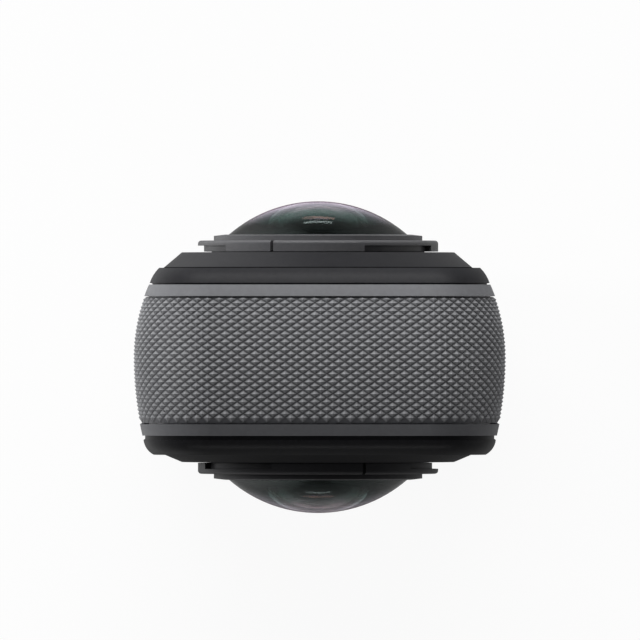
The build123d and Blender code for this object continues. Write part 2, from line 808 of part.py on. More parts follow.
# Front cover: rounded rim, locating skirt, ribbed plate, screw bosses and recess for the pad
with BuildPart() as front_cover:
    with BuildSketch(section_plane):
        with BuildLine():
            rim_foot = (side_x(front_rim_y), front_rim_y)
            rim_crest = (half_width - front_face_inset, front_face_y)
            rim_middle = (
                (rim_foot[0] + rim_crest[0]) / 2 + rim_swell_width,
                (rim_foot[1] + rim_crest[1]) / 2 + rim_swell_width,
            )
            ThreePointArc(rim_foot, rim_middle, rim_crest)
            neck_x = side_x(front_rim_y) - groove_depth
            Polyline(
                rim_crest,
                (skirt_inner_x, front_face_y),
                (skirt_inner_x, front_trim_end - skirt_depth),
                (skirt_outer_x, front_trim_end - skirt_depth),
                (skirt_outer_x, front_trim_end),
                (neck_x, front_trim_end),
                (neck_x, front_rim_y),
                rim_foot,
            )
        make_face()
    sweep(path=around)
    extrude(outline_face(front_face_y, skirt_inset), amount=front_plate_thickness)
    with BuildSketch(face_plane(front_plate_back)):
        with Locations((0, bay_middle_z)):
            with GridLocations(body_width, bay_height / rib_count, 1, rib_count):
                Rectangle(2 * skirt_inner_x, rib_width)
    extrude(amount=rib_height)
    with BuildSketch(face_plane(front_plate_back)):
        with Locations(*screw_places):
            Circle(screw_boss_radius)
    extrude(amount=front_plate_back - screw_lug_front_y)
    with BuildSketch(face_plane(screw_lug_front_y + screw_bite)):
        with Locations(*screw_places):
            Circle(screw_shank_radius + screw_gap)
    extrude(amount=screw_bite + overrun, mode=Mode.SUBTRACT)
    with BuildSketch(face_plane(front_face_y + overrun)):
        with Locations(lens_place):
            Circle(seat_spigot_radius + seat_spigot_gap)
        with Locations((0, mesh_z)):
            SlotOverall(mesh_length - 2 * mesh_ledge, mesh_height - 2 * mesh_ledge)
        with Locations((0, lamp_front_z)):
            SlotOverall(lamp_length + 2 * lamp_gap, lamp_height + 2 * lamp_gap)
    extrude(amount=front_plate_thickness + 2 * overrun, mode=Mode.SUBTRACT)
    with BuildSketch(face_plane(front_face_y + overrun)):
        with Locations((0, mesh_z)):
            SlotOverall(mesh_length + 2 * mesh_gap, mesh_height + 2 * mesh_gap)
    extrude(amount=mesh_recess + overrun, mode=Mode.SUBTRACT)
    with BuildSketch(face_plane(front_face_y + overrun)):
        with Locations((0, pad_bottom_z + pad_height / 2)):
            RectangleRounded(
                pad_width + 2 * pad_gap, pad_height + 2 * pad_gap, pad_corner_radius + pad_gap
            )
    extrude(amount=pad_recess + overrun, mode=Mode.SUBTRACT)
save(front_cover, "front_cover")

# Soft pad with finger grooves in the front cover
with BuildPart() as front_grip_pad:
    with BuildSketch(face_plane(front_face_y - pad_recess)):
        with Locations((0, pad_bottom_z + pad_height / 2)):
            RectangleRounded(pad_width, pad_height, pad_corner_radius)
    extrude(amount=-pad_thickness)
    with BuildSketch(face_plane(front_face_y - pad_recess + pad_thickness - pad_groove_depth)):
        with Locations((0, pad_bottom_z + pad_height / 2)):
            with GridLocations(pad_width, pad_height / (pad_groove_count + 1), 1, pad_groove_count):
                SlotOverall(pad_width - 2 * pad_corner_radius, pad_groove_width)
    extrude(amount=-(pad_groove_depth + overrun), mode=Mode.SUBTRACT)
save(front_grip_pad, "front_grip_pad")

# Perforated guard over the speaker and the front microphone
with BuildPart() as mic_guard:
    with BuildSketch(face_plane(front_face_y - mesh_recess + mesh_thickness)):
        with Locations((0, mesh_z)):
            SlotOverall(mesh_length, mesh_height)
            with GridLocations(mesh_hole_spacing, mesh_hole_spacing, mesh_hole_columns, mesh_hole_rows):
                Circle(mesh_hole_radius, mode=Mode.SUBTRACT)
    extrude(amount=mesh_thickness)
save(mic_guard, "mic_guard")

# Rear cover: gloss rim with a shadow groove, recess for the glass and windows in its floor
rear_cut_depth = rear_plate_thickness + 2 * overrun
with BuildPart() as rear_cover:
    with BuildSketch(section_plane):
        with BuildLine():
            rim_foot = (side_x(rear_rim_y), rear_rim_y)
            rim_crest = (half_width - rear_face_inset, rear_face_y)
            rim_middle = (
                (rim_foot[0] + rim_crest[0]) / 2 + 2 * rim_swell_width,
                (rim_foot[1] + rim_crest[1]) / 2 - 2 * rim_swell_width,
            )
            ThreePointArc(rim_foot, rim_middle, rim_crest)
            neck_x = side_x(rear_trim_end) - groove_depth
            Polyline(
                rim_crest,
                (skirt_inner_x, rear_face_y),
                (skirt_inner_x, rear_trim_end + skirt_depth),
                (skirt_outer_x, rear_trim_end + skirt_depth),
                (skirt_outer_x, rear_trim_end),
                (neck_x, rear_trim_end),
                (neck_x, rear_rim_y),
                rim_foot,
            )
        make_face()
    sweep(path=around)
    extrude(outline_face(rear_plate_back, skirt_inset), amount=rear_plate_thickness)
    extrude(
        screen_face(rear_face_y + glass_thickness + glass_gap, -glass_gap),
        amount=glass_thickness + glass_gap + overrun,
        mode=Mode.SUBTRACT,
    )
    with BuildSketch(face_plane(rear_plate_back + overrun)):
        with Locations((0, display_bottom_z + display_height / 2)):
            Rectangle(display_width + 2 * display_gap, display_height + 2 * display_gap)
        with Locations(lens_place):
            Circle(seat_spigot_radius + seat_spigot_gap)
        with Locations((-rear_button_x, rear_button_z), (rear_button_x, rear_button_z)):
            Circle(rear_button_radius + rear_button_gap)
        with Locations((0, rear_button_z)):
            SlotOverall(lamp_length + 2 * lamp_gap, lamp_height + 2 * lamp_gap)
        with Locations((rear_mic_x, rear_button_z)):
            Circle(mic_port_radius)
    extrude(amount=rear_cut_depth, mode=Mode.SUBTRACT)
save(rear_cover, "rear_cover")

with BuildPart() as screen_glass:
    extrude(screen_face(glass_back_y, 0), amount=glass_thickness)
    with BuildSketch(face_plane(glass_back_y + overrun)):
        with Locations(lens_place):
            Circle(seat_spigot_radius + seat_spigot_gap)
    extrude(amount=glass_thickness + 2 * overrun, mode=Mode.SUBTRACT)
save(screen_glass, "screen_glass")

with BuildPart() as display_panel:
    with BuildSketch(face_plane(display_back_y)):
        with Locations((0, display_bottom_z + display_height / 2)):
            Rectangle(display_width, display_height)
    extrude(amount=display_thickness)
save(display_panel, "display_panel")

# Lamps that show through the front cover and between the rear buttons
with BuildPart() as status_light_pipes:
    for lamp_z, outer_y, back_y, inwards in (
        (lamp_front_z, front_face_y, front_plate_back, 1),
        (rear_button_z, rear_face_y, rear_plate_back, -1),
    ):
        with BuildSketch(face_plane(outer_y)):
            with Locations((0, lamp_z)):
                SlotOverall(lamp_length, lamp_height)
        extrude(amount=outer_y - back_y)
        with BuildSketch(face_plane(back_y)):
            with Locations((0, lamp_z)):
                SlotOverall(lamp_length + 2 * lamp_flange, lamp_height + 2 * lamp_flange)
        extrude(amount=inwards * lamp_flange_thickness)
save(status_light_pipes, "status_light_pipes")


def polar(angle, radius):
    """Point on a lens plane at an angle from the camera's top, anticlockwise seen from outside."""
    return (-radius * sin(radians(angle)), radius * cos(radians(angle)))


def sectors(plane, start, end, inner, outer, count=lug_count):
    """Ring sectors from start to end degrees between two radii, one for each lug or just one."""
    far = 2 * outer
    with BuildSketch(plane) as pieces:
        with PolarLocations(0, count):
            Polygon(
                (0, 0), polar(start, far), polar((start + end) / 2, far), polar(end, far), align=None
            )
        Circle(outer, mode=Mode.INTERSECT)
        Circle(inner, mode=Mode.SUBTRACT)
    return pieces.sketch


def sphere_depth(centre, radius, reach):
    """Depth of a spherical surface at a distance from the lens's axis."""
    return centre + sqrt(radius**2 - reach**2)


# The lens parts, made alike on both faces: the rear ones are turned half a turn about Z
for side, toward in (("front", 1), ("rear", -1)):
    lens_origin = (lens_x, 0, lens_z)
    section = Plane(origin=lens_origin, x_dir=(toward, 0, 0), z_dir=(0, 0, 1))
    optical_axis = Axis(lens_origin, (0, toward, 0))
    face_depth = front_face_y if toward > 0 else -rear_face_y

    def lens_plane(depth):
        """Plane across the lens at a depth from the mid plane, facing outwards, with Z up."""
        origin = (lens_x, toward * depth, lens_z)
        return Plane(origin=origin, x_dir=(-toward, 0, 0), z_dir=(0, toward, 0))

    # Outer glass: a deep meniscus with a ground edge
    shoulder = sphere_depth(dome_centre, dome_radius, dome_edge_radius)
    hollow_apex = dome_apex - dome_thickness
    hollow_centre = hollow_apex - dome_hollow_radius
    hollow_edge = sqrt(dome_hollow_radius**2 - (dome_foot - hollow_centre) ** 2)
    with BuildPart() as dome:
        with BuildSketch(section):
            with BuildLine():
                ThreePointArc(
                    (0, dome_apex),
                    (dome_edge_radius / 2, sphere_depth(dome_centre, dome_radius, dome_edge_radius / 2)),
                    (dome_edge_radius, shoulder),
                )
                Polyline((dome_edge_radius, shoulder), (dome_edge_radius, dome_foot), (hollow_edge, dome_foot))
                ThreePointArc(
                    (hollow_edge, dome_foot),
                    (hollow_edge / 2, sphere_depth(hollow_centre, dome_hollow_radius, hollow_edge / 2)),
                    (0, hollow_apex),
                )
                Line((0, hollow_apex), (0, dome_apex))
            make_face()
        revolve(axis=optical_axis)
    save(dome, f"{side}_dome")

    # Bevelled plate that holds the glass
    glass_at_foot = sqrt(dome_radius**2 - (ring_top - dome_centre) ** 2)
    with BuildPart() as bezel:
        with BuildSketch(section):
            with BuildLine():
                Polyline(
                    (glass_at_foot + bezel_clearance, ring_top),
                    (bezel_outer_radius, ring_top),
                    (bezel_outer_radius, bezel_edge),
                    (bezel_flat_radius, bezel_top),
                    (bezel_bore_radius, bezel_top),
                    close=True,
                )
            make_face()
        revolve(axis=optical_axis)
    save(bezel, f"{side}_lens_bezel")

    # Three-lug ring: lip over a cut-back waist, slits, skirt and locking lugs
    with BuildPart() as ring:
        with BuildSketch(section):
            with BuildLine():
                Polyline(
                    (ring_ledge_radius, dome_foot),
                    (ring_bore_radius, dome_foot),
                    (ring_bore_radius, ring_top),
                    (ring_outer_radius, ring_top),
                    (ring_outer_radius, ring_foot),
                    (ring_skirt_radius, ring_foot),
                    (ring_skirt_radius, ring_skirt_foot),
                    (ring_bore_radius, ring_skirt_foot),
                    (ring_bore_radius, dome_foot - ring_ledge_thickness),
                    (ring_ledge_radius, dome_foot - ring_ledge_thickness),
                    close=True,
                )
            make_face()
        revolve(axis=optical_axis)
        outer_rims = ring.edges().filter_by(GeomType.CIRCLE).group_by(SortBy.RADIUS)[-1]
        fillet(outer_rims.sort_by(Axis.Y)[-1 if toward > 0 else 0], ring_edge_fillet)
        waist = sectors(
            lens_plane(ring_foot - overrun),
            waist_start_angle,
            waist_end_angle,
            ring_waist_radius,
            ring_outer_radius + overrun,
        )
        far_waist = sectors(
            lens_plane(ring_foot - overrun),
            waist_far_start_angle,
            waist_end_angle - 360 / lug_count,
            ring_waist_radius,
            ring_outer_radius + overrun,
            1,
        )
        for cut in (waist, far_waist):
            extrude(cut, amount=overrun + ring_top - ring_lip - ring_foot, mode=Mode.SUBTRACT)
        with BuildSketch(lens_plane(ring_foot - overrun)):
            for lug in range(lug_count):
                angle = waist_slit_angle + lug * 360 / lug_count
                with Locations(Location(polar(angle, ring_outer_radius), angle)):
                    Rectangle(slit_width, 2 * (ring_outer_radius - ring_waist_radius))
        extrude(amount=ring_top - ring_foot + 2 * overrun, mode=Mode.SUBTRACT)
        lugs = sectors(
            lens_plane(ring_skirt_foot),
            lug_middle_angle - lug_angle,
            lug_middle_angle + lug_angle,
            (ring_bore_radius + ring_skirt_radius) / 2,
            lug_radius,
        )
        extrude(lugs, amount=lug_thickness)
    save(ring, f"{side}_lens_ring")

    # Conical seat on the cover, with the keyhole groove that takes the lugs
    with BuildPart() as seat:
        with BuildSketch(section):
            with BuildLine():
                Polyline(
                    (seat_base_radius, face_depth),
                    (seat_top_radius, seat_top),
                    (seat_bore_radius, seat_top),
                    (seat_bore_radius, seat_groove_top),
                    (seat_groove_radius, seat_groove_top),
                    (seat_groove_radius, seat_groove_floor),
                    (seat_floor_radius, seat_groove_floor),
                    (seat_floor_radius, seat_floor),
                    (seat_spigot_bore, seat_floor),
                    (seat_spigot_bore, seat_spigot_foot),
                    (seat_spigot_radius, seat_spigot_foot),
                    (seat_spigot_radius, face_depth),
                    close=True,
                )
            make_face()
        revolve(axis=optical_axis)
        entries = sectors(
            lens_plane(seat_groove_top),
            lug_middle_angle + lug_turn - lug_entry_angle,
            lug_middle_angle + lug_turn + lug_entry_angle,
            seat_bore_radius - overrun / 2,
            seat_entry_radius,
        )
        extrude(entries, amount=seat_top - seat_groove_top + overrun, mode=Mode.SUBTRACT)
    save(seat, f"{side}_lens_seat")

    # Barrel between the sensor's board and the back of the dome
    cavity_top = sensor_board_face + barrel_cavity
    stop_top = cavity_top + barrel_stop
    inner_centre = inner_element_apex - inner_element_curve
    inner_shoulder = sphere_depth(inner_centre, inner_element_curve, inner_element_radius)
    with BuildPart() as barrel:
        with BuildSketch(section):
            with BuildLine():
                Polyline(
                    (barrel_cavity_radius, sensor_board_face),
                    (barrel_flange_radius, sensor_board_face),
                    (barrel_flange_radius, sensor_board_face + barrel_flange),
                    (barrel_body_radius, sensor_board_face + barrel_flange),
                    (barrel_body_radius, barrel_neck - barrel_taper),
                    (barrel_mouth_radius, barrel_neck),
                    (barrel_mouth_radius, barrel_mouth),
                    (barrel_mouth_bore, barrel_mouth),
                    (inner_seat_radius, inner_shoulder),
                    (inner_seat_radius, inner_element_foot),
                    (barrel_bore_radius, inner_element_foot),
                    (barrel_bore_radius, stop_top),
                    (barrel_stop_radius, stop_top),
                    (barrel_stop_radius, cavity_top),
                    (barrel_cavity_radius, cavity_top),
                    close=True,
                )
            make_face()
        revolve(axis=optical_axis)
    save(barrel, f"{side}_lens_barrel")

    # Second glass, which shows through the dome
    inner_hollow_apex = inner_element_apex - inner_element_thickness
    inner_hollow_centre = inner_hollow_apex - inner_element_hollow
    inner_hollow_edge = sqrt(inner_element_hollow**2 - (inner_element_foot - inner_hollow_centre) ** 2)
    with BuildPart() as inner_element:
        with BuildSketch(section):
            with BuildLine():
                ThreePointArc(
                    (0, inner_element_apex),
                    (
                        inner_element_radius / 2,
                        sphere_depth(inner_centre, inner_element_curve, inner_element_radius / 2),
                    ),
                    (inner_element_radius, inner_shoulder),
                )
                Polyline(
                    (inner_element_radius, inner_shoulder),
                    (inner_element_radius, inner_element_foot),
                    (inner_hollow_edge, inner_element_foot),
                )
                ThreePointArc(
                    (inner_hollow_edge, inner_element_foot),
                    (
                        inner_hollow_edge / 2,
                        sphere_depth(inner_hollow_centre, inner_element_hollow, inner_hollow_edge / 2),
                    ),
                    (0, inner_hollow_apex),
                )
                Line((0, inner_hollow_apex), (0, inner_element_apex))
            make_face()
        revolve(axis=optical_axis)
    save(inner_element, f"{side}_inner_element")

    # Glass group near the sensor
    field_curve = (field_radius**2 + field_rise_height**2) / (2 * field_rise_height)
    field_rise = sqrt(field_curve**2 - (field_radius / 2) ** 2) - (field_curve - field_rise_height)
    field_top = field_foot + field_edge
    with BuildPart() as field_element:
        with BuildSketch(section):
            with BuildLine():
                ThreePointArc(
                    (0, field_foot - field_rise_height), (field_radius / 2, field_foot - field_rise), (field_radius, field_foot)
                )
                Line((field_radius, field_foot), (field_radius, field_top))
                ThreePointArc(
                    (field_radius, field_top), (field_radius / 2, field_top + field_rise), (0, field_top + field_rise_height)
                )
                Line((0, field_top + field_rise_height), (0, field_foot - field_rise_height))
            make_face()
        revolve(axis=optical_axis)
    save(field_element, f"{side}_field_element")

    # Rubber ring between the barrel's mouth and the lens cover's skirt
    with BuildPart() as seal_ring:
        with BuildSketch(section):
            with Locations((barrel_mouth_radius + seal_gap + seal_section_radius, barrel_mouth - seal_depth)):
                Circle(seal_section_radius)
        revolve(axis=optical_axis)
    save(seal_ring, f"{side}_seal_ring")

    with BuildPart() as sensor:
        with BuildSketch(lens_plane(sensor_board_face)):
            Rectangle(sensor_width, sensor_height)
        extrude(amount=sensor_thickness)
        with BuildSketch(lens_plane(sensor_face - sensor_window_depth)):
            Rectangle(sensor_width - 2 * sensor_window_inset, sensor_height - 2 * sensor_window_inset)
        extrude(amount=sensor_window_depth + overrun, mode=Mode.SUBTRACT)
    save(sensor, f"{side}_sensor")

    with BuildPart() as sensor_board:
        with BuildSketch(lens_plane(spreader_face)):
            Rectangle(sensor_board_size, sensor_board_size)
        extrude(amount=sensor_board_thickness)
    save(sensor_board, f"{side}_sensor_board")

# Copper sheets on both faces of the frame's web, under the sensor boards
with BuildPart() as heat_spreader:
    for toward in (-1, 1):
        with BuildSketch(face_plane(toward * web_thickness / 2)):
            with Locations(lens_place):
                Rectangle(spreader_width, spreader_height)
        extrude(amount=-toward * spreader_thickness)
save(heat_spreader, "heat_spreader")

# Main board with its chips, connectors and the switches of the round buttons
with BuildPart() as main_board:
    with BuildSketch(face_plane(board_front_y)) as board_outline:
        with Locations((0, (board_bottom_z + board_top_z) / 2)):
            Rectangle(2 * board_half_width, board_top_z - board_bottom_z)
        chamfer(board_outline.vertices(), board_corner)
    extrude(amount=board_thickness)
    with BuildSketch(face_plane(board_back_y)):
        with Locations((can_x, can_z)):
            with GridLocations(can_width / 2, can_height / 2, 2, 2):
                Rectangle(chip_size, chip_size)
        with Locations((0, display_bottom_z + display_flex_up)):
            Rectangle(display_flex_width, connector_height)
    extrude(amount=chip_height)
    with BuildSketch(face_plane(board_front_y)):
        with Locations((-connector_x, connector_z), (connector_x, connector_z)):
            Rectangle(connector_width, connector_height)
    extrude(amount=-connector_depth)
    for place_x in (-rear_button_x, rear_button_x):
        with BuildSketch(face_plane(board_back_y)):
            with Locations((place_x, rear_button_z)):
                Rectangle(switch_size, switch_size)
        extrude(amount=switch_body)
        with BuildSketch(face_plane(board_back_y)):
            with Locations((place_x, rear_button_z)):
                Circle(switch_nub_radius)
        extrude(amount=switch_height)
save(main_board, "main_board")

with BuildPart() as shield_can:
    with BuildSketch(face_plane(board_back_y)):
        with Locations((can_x, can_z)):
            Rectangle(can_width, can_height)
    extrude(amount=can_depth)
    with BuildSketch(face_plane(board_back_y)):
        with Locations((can_x, can_z)):
            Rectangle(can_width - 2 * can_wall, can_height - 2 * can_wall)
    extrude(amount=can_depth - can_wall, mode=Mode.SUBTRACT)
save(shield_can, "shield_can")

# Flat cables from the sensor boards to the main board
with BuildPart() as sensor_flexes:
    for toward in (-1, 1):
        strip_y = toward * (sensor_board_face + display_flex_gap + flex_thickness / 2)
        plug_y = board_front_y + connector_depth + display_flex_gap + flex_thickness / 2
        turn_z = web_bottom_z - flex_drop
        tail_z = lens_z - sensor_board_size / 2 + flex_bend
        strip_plane = side_plane(-toward * connector_x - flex_width / 2)
        with BuildSketch(strip_plane):
            with BuildLine():
                strip = FilletPolyline(
                    (strip_y, tail_z),
                    (strip_y, turn_z),
                    (plug_y, turn_z),
                    (plug_y, connector_z),
                    radius=flex_bend,
                )
            trace(strip, line_width=flex_thickness)
        extrude(amount=flex_width)
save(sensor_flexes, "sensor_flexes")

with BuildPart() as display_flex:
    near_y = display_back_y + display_flex_gap + flex_thickness / 2
    far_y = board_back_y - display_flex_gap - flex_thickness / 2
    low_z = display_bottom_z - display_flex_down
    with BuildSketch(side_plane(-display_flex_width / 2)):
        with BuildLine():
            strip = FilletPolyline(
                (near_y, display_bottom_z + display_flex_up),
                (near_y, low_z),
                (far_y, low_z),
                (far_y, display_bottom_z),
                radius=display_flex_bend,
            )
        trace(strip, line_width=flex_thickness)
    extrude(amount=display_flex_width)
save(display_flex, "display_flex")

# Battery: cells' case with a sealed neck, door with its knurled outside, seal and latches
with BuildPart() as battery_pack:
    with BuildSketch(side_plane(-door_back_x)):
        with Locations((side_y, bay_middle_z)):
            RectangleRounded(
                2 * (bay_half_depth - neck_gap), bay_height - 2 * neck_gap, bay_corner_radius - neck_gap
            )
    extrude(amount=neck_thickness)
    with BuildSketch(side_plane(-neck_back_x)):
        with Locations((side_y, (bay_bottom_z + pack_gap + pack_top_z) / 2)):
            RectangleRounded(
                2 * (bay_half_depth - pack_gap), pack_top_z - bay_bottom_z - pack_gap, pack_corner_radius
            )
    extrude(amount=neck_back_x + bay_end_x - pack_end_gap)
    with BuildSketch(side_plane(-door_back_x + (neck_thickness - battery_seal_width) / 2)):
        with Locations((side_y, bay_middle_z)):
            RectangleRounded(
                2 * (bay_half_depth + overrun), bay_height + 2 * overrun, bay_corner_radius + overrun
            )
            RectangleRounded(
                2 * (bay_half_depth - neck_gap - battery_seal_depth),
                bay_height - 2 * (neck_gap + battery_seal_depth),
                bay_corner_radius - neck_gap - battery_seal_depth,
                mode=Mode.SUBTRACT,
            )
    extrude(amount=battery_seal_width, mode=Mode.SUBTRACT)
save(battery_pack, "battery_pack")

with BuildPart() as battery_seal:
    with BuildSketch(side_plane(-door_back_x + (neck_thickness - battery_seal_width) / 2)):
        with Locations((side_y, bay_middle_z)):
            seal_out = neck_gap - battery_seal_reach
            RectangleRounded(
                2 * (bay_half_depth - seal_out), bay_height - 2 * seal_out, bay_corner_radius - seal_out
            )
            RectangleRounded(
                2 * (bay_half_depth - neck_gap - battery_seal_depth),
                bay_height - 2 * (neck_gap + battery_seal_depth),
                bay_corner_radius - neck_gap - battery_seal_depth,
                mode=Mode.SUBTRACT,
            )
    extrude(amount=battery_seal_width)
save(battery_seal, "battery_seal")

stem_middle = tongue_start + stem_length / 2
with BuildPart() as battery_door:
    sweep(sections=ring_section(band_rear_y, band_front_y, door_thickness), path=around)
    with BuildSketch(side_plane(-half_width - overrun)):
        with Locations((side_y, bay_middle_z)):
            RectangleRounded(2 * door_half_depth, door_height, door_corner_radius)
    extrude(amount=door_thickness + 2 * overrun, mode=Mode.INTERSECT)
    with BuildSketch(side_plane(-half_width - overrun)):
        for end in (-1, 1):
            with Locations((side_y, bay_middle_z + end * (stem_middle + latch_travel / 2))):
                Rectangle(slider_width + 2 * slider_gap, slider_length + latch_travel + 2 * slider_gap)
    extrude(amount=overrun + slider_recess, mode=Mode.SUBTRACT)
    with BuildSketch(side_plane(-half_width - overrun)):
        for end in (-1, 1):
            with Locations((side_y, bay_middle_z + end * (stem_middle + latch_travel / 2))):
                Rectangle(stem_width + 2 * tongue_gap, stem_length + latch_travel + 2 * tongue_gap)
    extrude(amount=door_thickness + 2 * overrun, mode=Mode.SUBTRACT)
save(battery_door, "battery_door")

slider_outer_x = half_width - slider_sink
slider_back_x = half_width - slider_recess + slider_back_gap
for name, end in (("upper", 1), ("lower", -1)):
    with BuildPart() as latch:
        with BuildSketch(side_plane(-slider_outer_x)):
            with Locations((side_y, bay_middle_z + end * stem_middle)):
                Rectangle(slider_width, slider_length)
        extrude(amount=slider_outer_x - slider_back_x)
        with BuildSketch(side_plane(-slider_outer_x)):
            with Locations((side_y, bay_middle_z + end * stem_middle)):
                with GridLocations(slider_width, slider_length / (slider_groove_count + 1), 1, slider_groove_count):
                    Rectangle(slider_width, slider_groove_width)
        extrude(amount=slider_groove_depth, mode=Mode.SUBTRACT)
        with BuildSketch(side_plane(-slider_back_x)):
            with Locations((side_y, bay_middle_z + end * stem_middle)):
                Rectangle(stem_width, stem_length)
        extrude(amount=slider_back_x - tongue_outer_x)
        with BuildSketch(side_plane(-tongue_outer_x)):
            with Locations((side_y, bay_middle_z + end * (tongue_start + tongue_length / 2))):
                Rectangle(tongue_width, tongue_length)
        extrude(amount=tongue_thickness)
    save(latch, f"{name}_latch")

with BuildPart() as battery_contacts:
    with BuildSketch(side_plane(bay_end_x)):
        with Locations((side_y, contact_block_z)):
            Rectangle(contact_block_depth, contact_block_height)
    extrude(amount=contact_block_thickness)
    with BuildSketch(side_plane(bay_end_x - contact_reach)):
        with Locations((side_y, contact_block_z)):
            with GridLocations(contact_width, contact_block_height / contact_count, 1, contact_count):
                Rectangle(contact_width, contact_height)
    extrude(amount=contact_reach)
save(battery_contacts, "battery_contacts")

# Card socket under the bay's roof, open to the battery door, and its card
with BuildPart() as card_socket:
    with BuildSketch(side_plane(socket_front_x)):
        with Locations((side_y, card_z)):
            Rectangle(socket_width, socket_height)
    extrude(amount=socket_length)
    with BuildSketch(side_plane(socket_front_x)):
        with Locations((side_y, card_z)):
            Rectangle(card_width + 2 * card_gap, card_thickness + 2 * card_gap)
    extrude(amount=socket_length - socket_end_wall, mode=Mode.SUBTRACT)
save(card_socket, "card_socket")

with BuildPart() as memory_card:
    with BuildSketch(Plane.XY.offset(card_z - card_thickness / 2)) as card_outline:
        with Locations((card_edge_x + card_length / 2, side_y)):
            Rectangle(card_length, card_width)
        chamfer(card_outline.vertices().group_by(Axis.X)[-1].sort_by(Axis.Y)[-1], card_corner)
    extrude(amount=card_thickness)
save(memory_card, "memory_card")

# Cable socket on its own small board
with BuildPart() as usb_receptacle:
    with BuildSketch(side_plane(usb_mouth_x)):
        with Locations((side_y, usb_z)):
            SlotOverall(usb_shell_height, usb_shell_depth, rotation=90)
    extrude(amount=-usb_shell_length)
    with BuildSketch(side_plane(usb_mouth_x)):
        with Locations((side_y, usb_z)):
            SlotOverall(
                usb_shell_height - 2 * usb_shell_wall, usb_shell_depth - 2 * usb_shell_wall, rotation=90
            )
    extrude(amount=-usb_cavity_length, mode=Mode.SUBTRACT)
    with BuildSketch(side_plane(usb_mouth_x - usb_cavity_length)):
        with Locations((side_y, usb_z)):
            Rectangle(usb_tongue_depth, usb_tongue_height)
    extrude(amount=usb_tongue_length)
save(usb_receptacle, "usb_receptacle")

with BuildPart() as usb_board:
    with BuildSketch(face_plane(usb_board_top_y)):
        with Locations((usb_mouth_x, usb_z)):
            Rectangle(usb_board_length, usb_board_height, align=(Align.MAX, Align.CENTER))
    extrude(amount=usb_board_thickness)
save(usb_board, "usb_board")

# Door of the cable socket, hinged at its lower end, with its rubber plug and pin
with BuildPart() as usb_door:
    with BuildSketch(face_plane(side_y + usb_door_half_depth)):
        with Locations((hinge_x, hinge_z)):
            Circle(hinge_radius)
        with Locations((door_back_x, hinge_z)):
            Rectangle(door_thickness, usb_door_top_z - hinge_z, align=(Align.MIN, Align.MIN))
    extrude(amount=2 * usb_door_half_depth)
    sweep(
        sections=ring_section(band_rear_y, band_front_y, frame_inner), path=around, mode=Mode.INTERSECT
    )
    with BuildSketch(side_plane(frame_inner_x)):
        with Locations((side_y, usb_z)):
            RectangleRounded(2 * usb_door_half_depth, usb_door_height, usb_door_corner_radius)
    extrude(amount=frame_inner + overrun, mode=Mode.INTERSECT)
    with BuildSketch(face_plane(side_y + usb_door_half_depth + overrun)):
        with Locations((hinge_x, hinge_z)):
            Circle(hinge_pin_radius + hinge_pin_gap)
    extrude(amount=2 * (usb_door_half_depth + overrun), mode=Mode.SUBTRACT)
save(usb_door, "usb_door")

with BuildPart() as usb_door_seal:
    with BuildSketch(side_plane(door_back_x)):
        with Locations((side_y, usb_z)):
            SlotOverall(usb_plug_height, usb_plug_depth, rotation=90)
    extrude(amount=-usb_plug_thickness)
save(usb_door_seal, "usb_door_seal")

with BuildPart() as usb_door_pin:
    with BuildSketch(face_plane(side_y + usb_door_half_depth + usb_door_gap + hinge_pin_reach)):
        with Locations((hinge_x, hinge_z)):
            Circle(hinge_pin_radius)
    extrude(amount=2 * (usb_door_half_depth + usb_door_gap + hinge_pin_reach))
save(usb_door_pin, "usb_door_pin")

# Side buttons: pill caps kept behind the band by a flange, with a plunger through the frame
for name, place_z in side_button_places.items():
    with BuildPart() as side_button:
        with BuildSketch(side_plane(side_flange_x)):
            with Locations((side_y, place_z)):
                SlotOverall(side_button_length, side_button_width, rotation=90)
        extrude(amount=side_cap_x - side_flange_x)
        fillet(side_button.faces().sort_by(Axis.X)[-1].edges(), side_button_fillet)
        with BuildSketch(side_plane(side_flange_x)):
            with Locations((side_y, place_z)):
                SlotOverall(
                    side_button_length + 2 * side_flange_margin,
                    side_button_width + 2 * side_flange_margin,
                    rotation=90,
                )
        extrude(amount=-side_flange_thickness)
        with BuildSketch(side_plane(side_flange_x - side_flange_thickness)):
            with Locations((side_y, place_z)):
                Circle(plunger_radius)
        extrude(amount=side_plunger_x - side_flange_x + side_flange_thickness)
    save(side_button, f"{name}_button")

with BuildPart() as side_key_board:
    lowest = min(side_button_places.values()) - side_board_margin
    highest = max(side_button_places.values()) + side_board_margin
    with BuildSketch(side_plane(side_board_x)):
        with Locations((side_y, (lowest + highest) / 2)):
            Rectangle(side_board_width, highest - lowest)
    extrude(amount=side_board_thickness)
    with BuildSketch(side_plane(side_board_x + side_board_thickness)):
        with Locations(*[(side_y, place_z) for place_z in side_button_places.values()]):
            Rectangle(switch_size, switch_size)
    extrude(amount=switch_body)
    with BuildSketch(side_plane(side_board_x + side_board_thickness + switch_body)):
        with Locations(*[(side_y, place_z) for place_z in side_button_places.values()]):
            Circle(switch_nub_radius)
    extrude(amount=switch_nub)
save(side_key_board, "side_key_board")

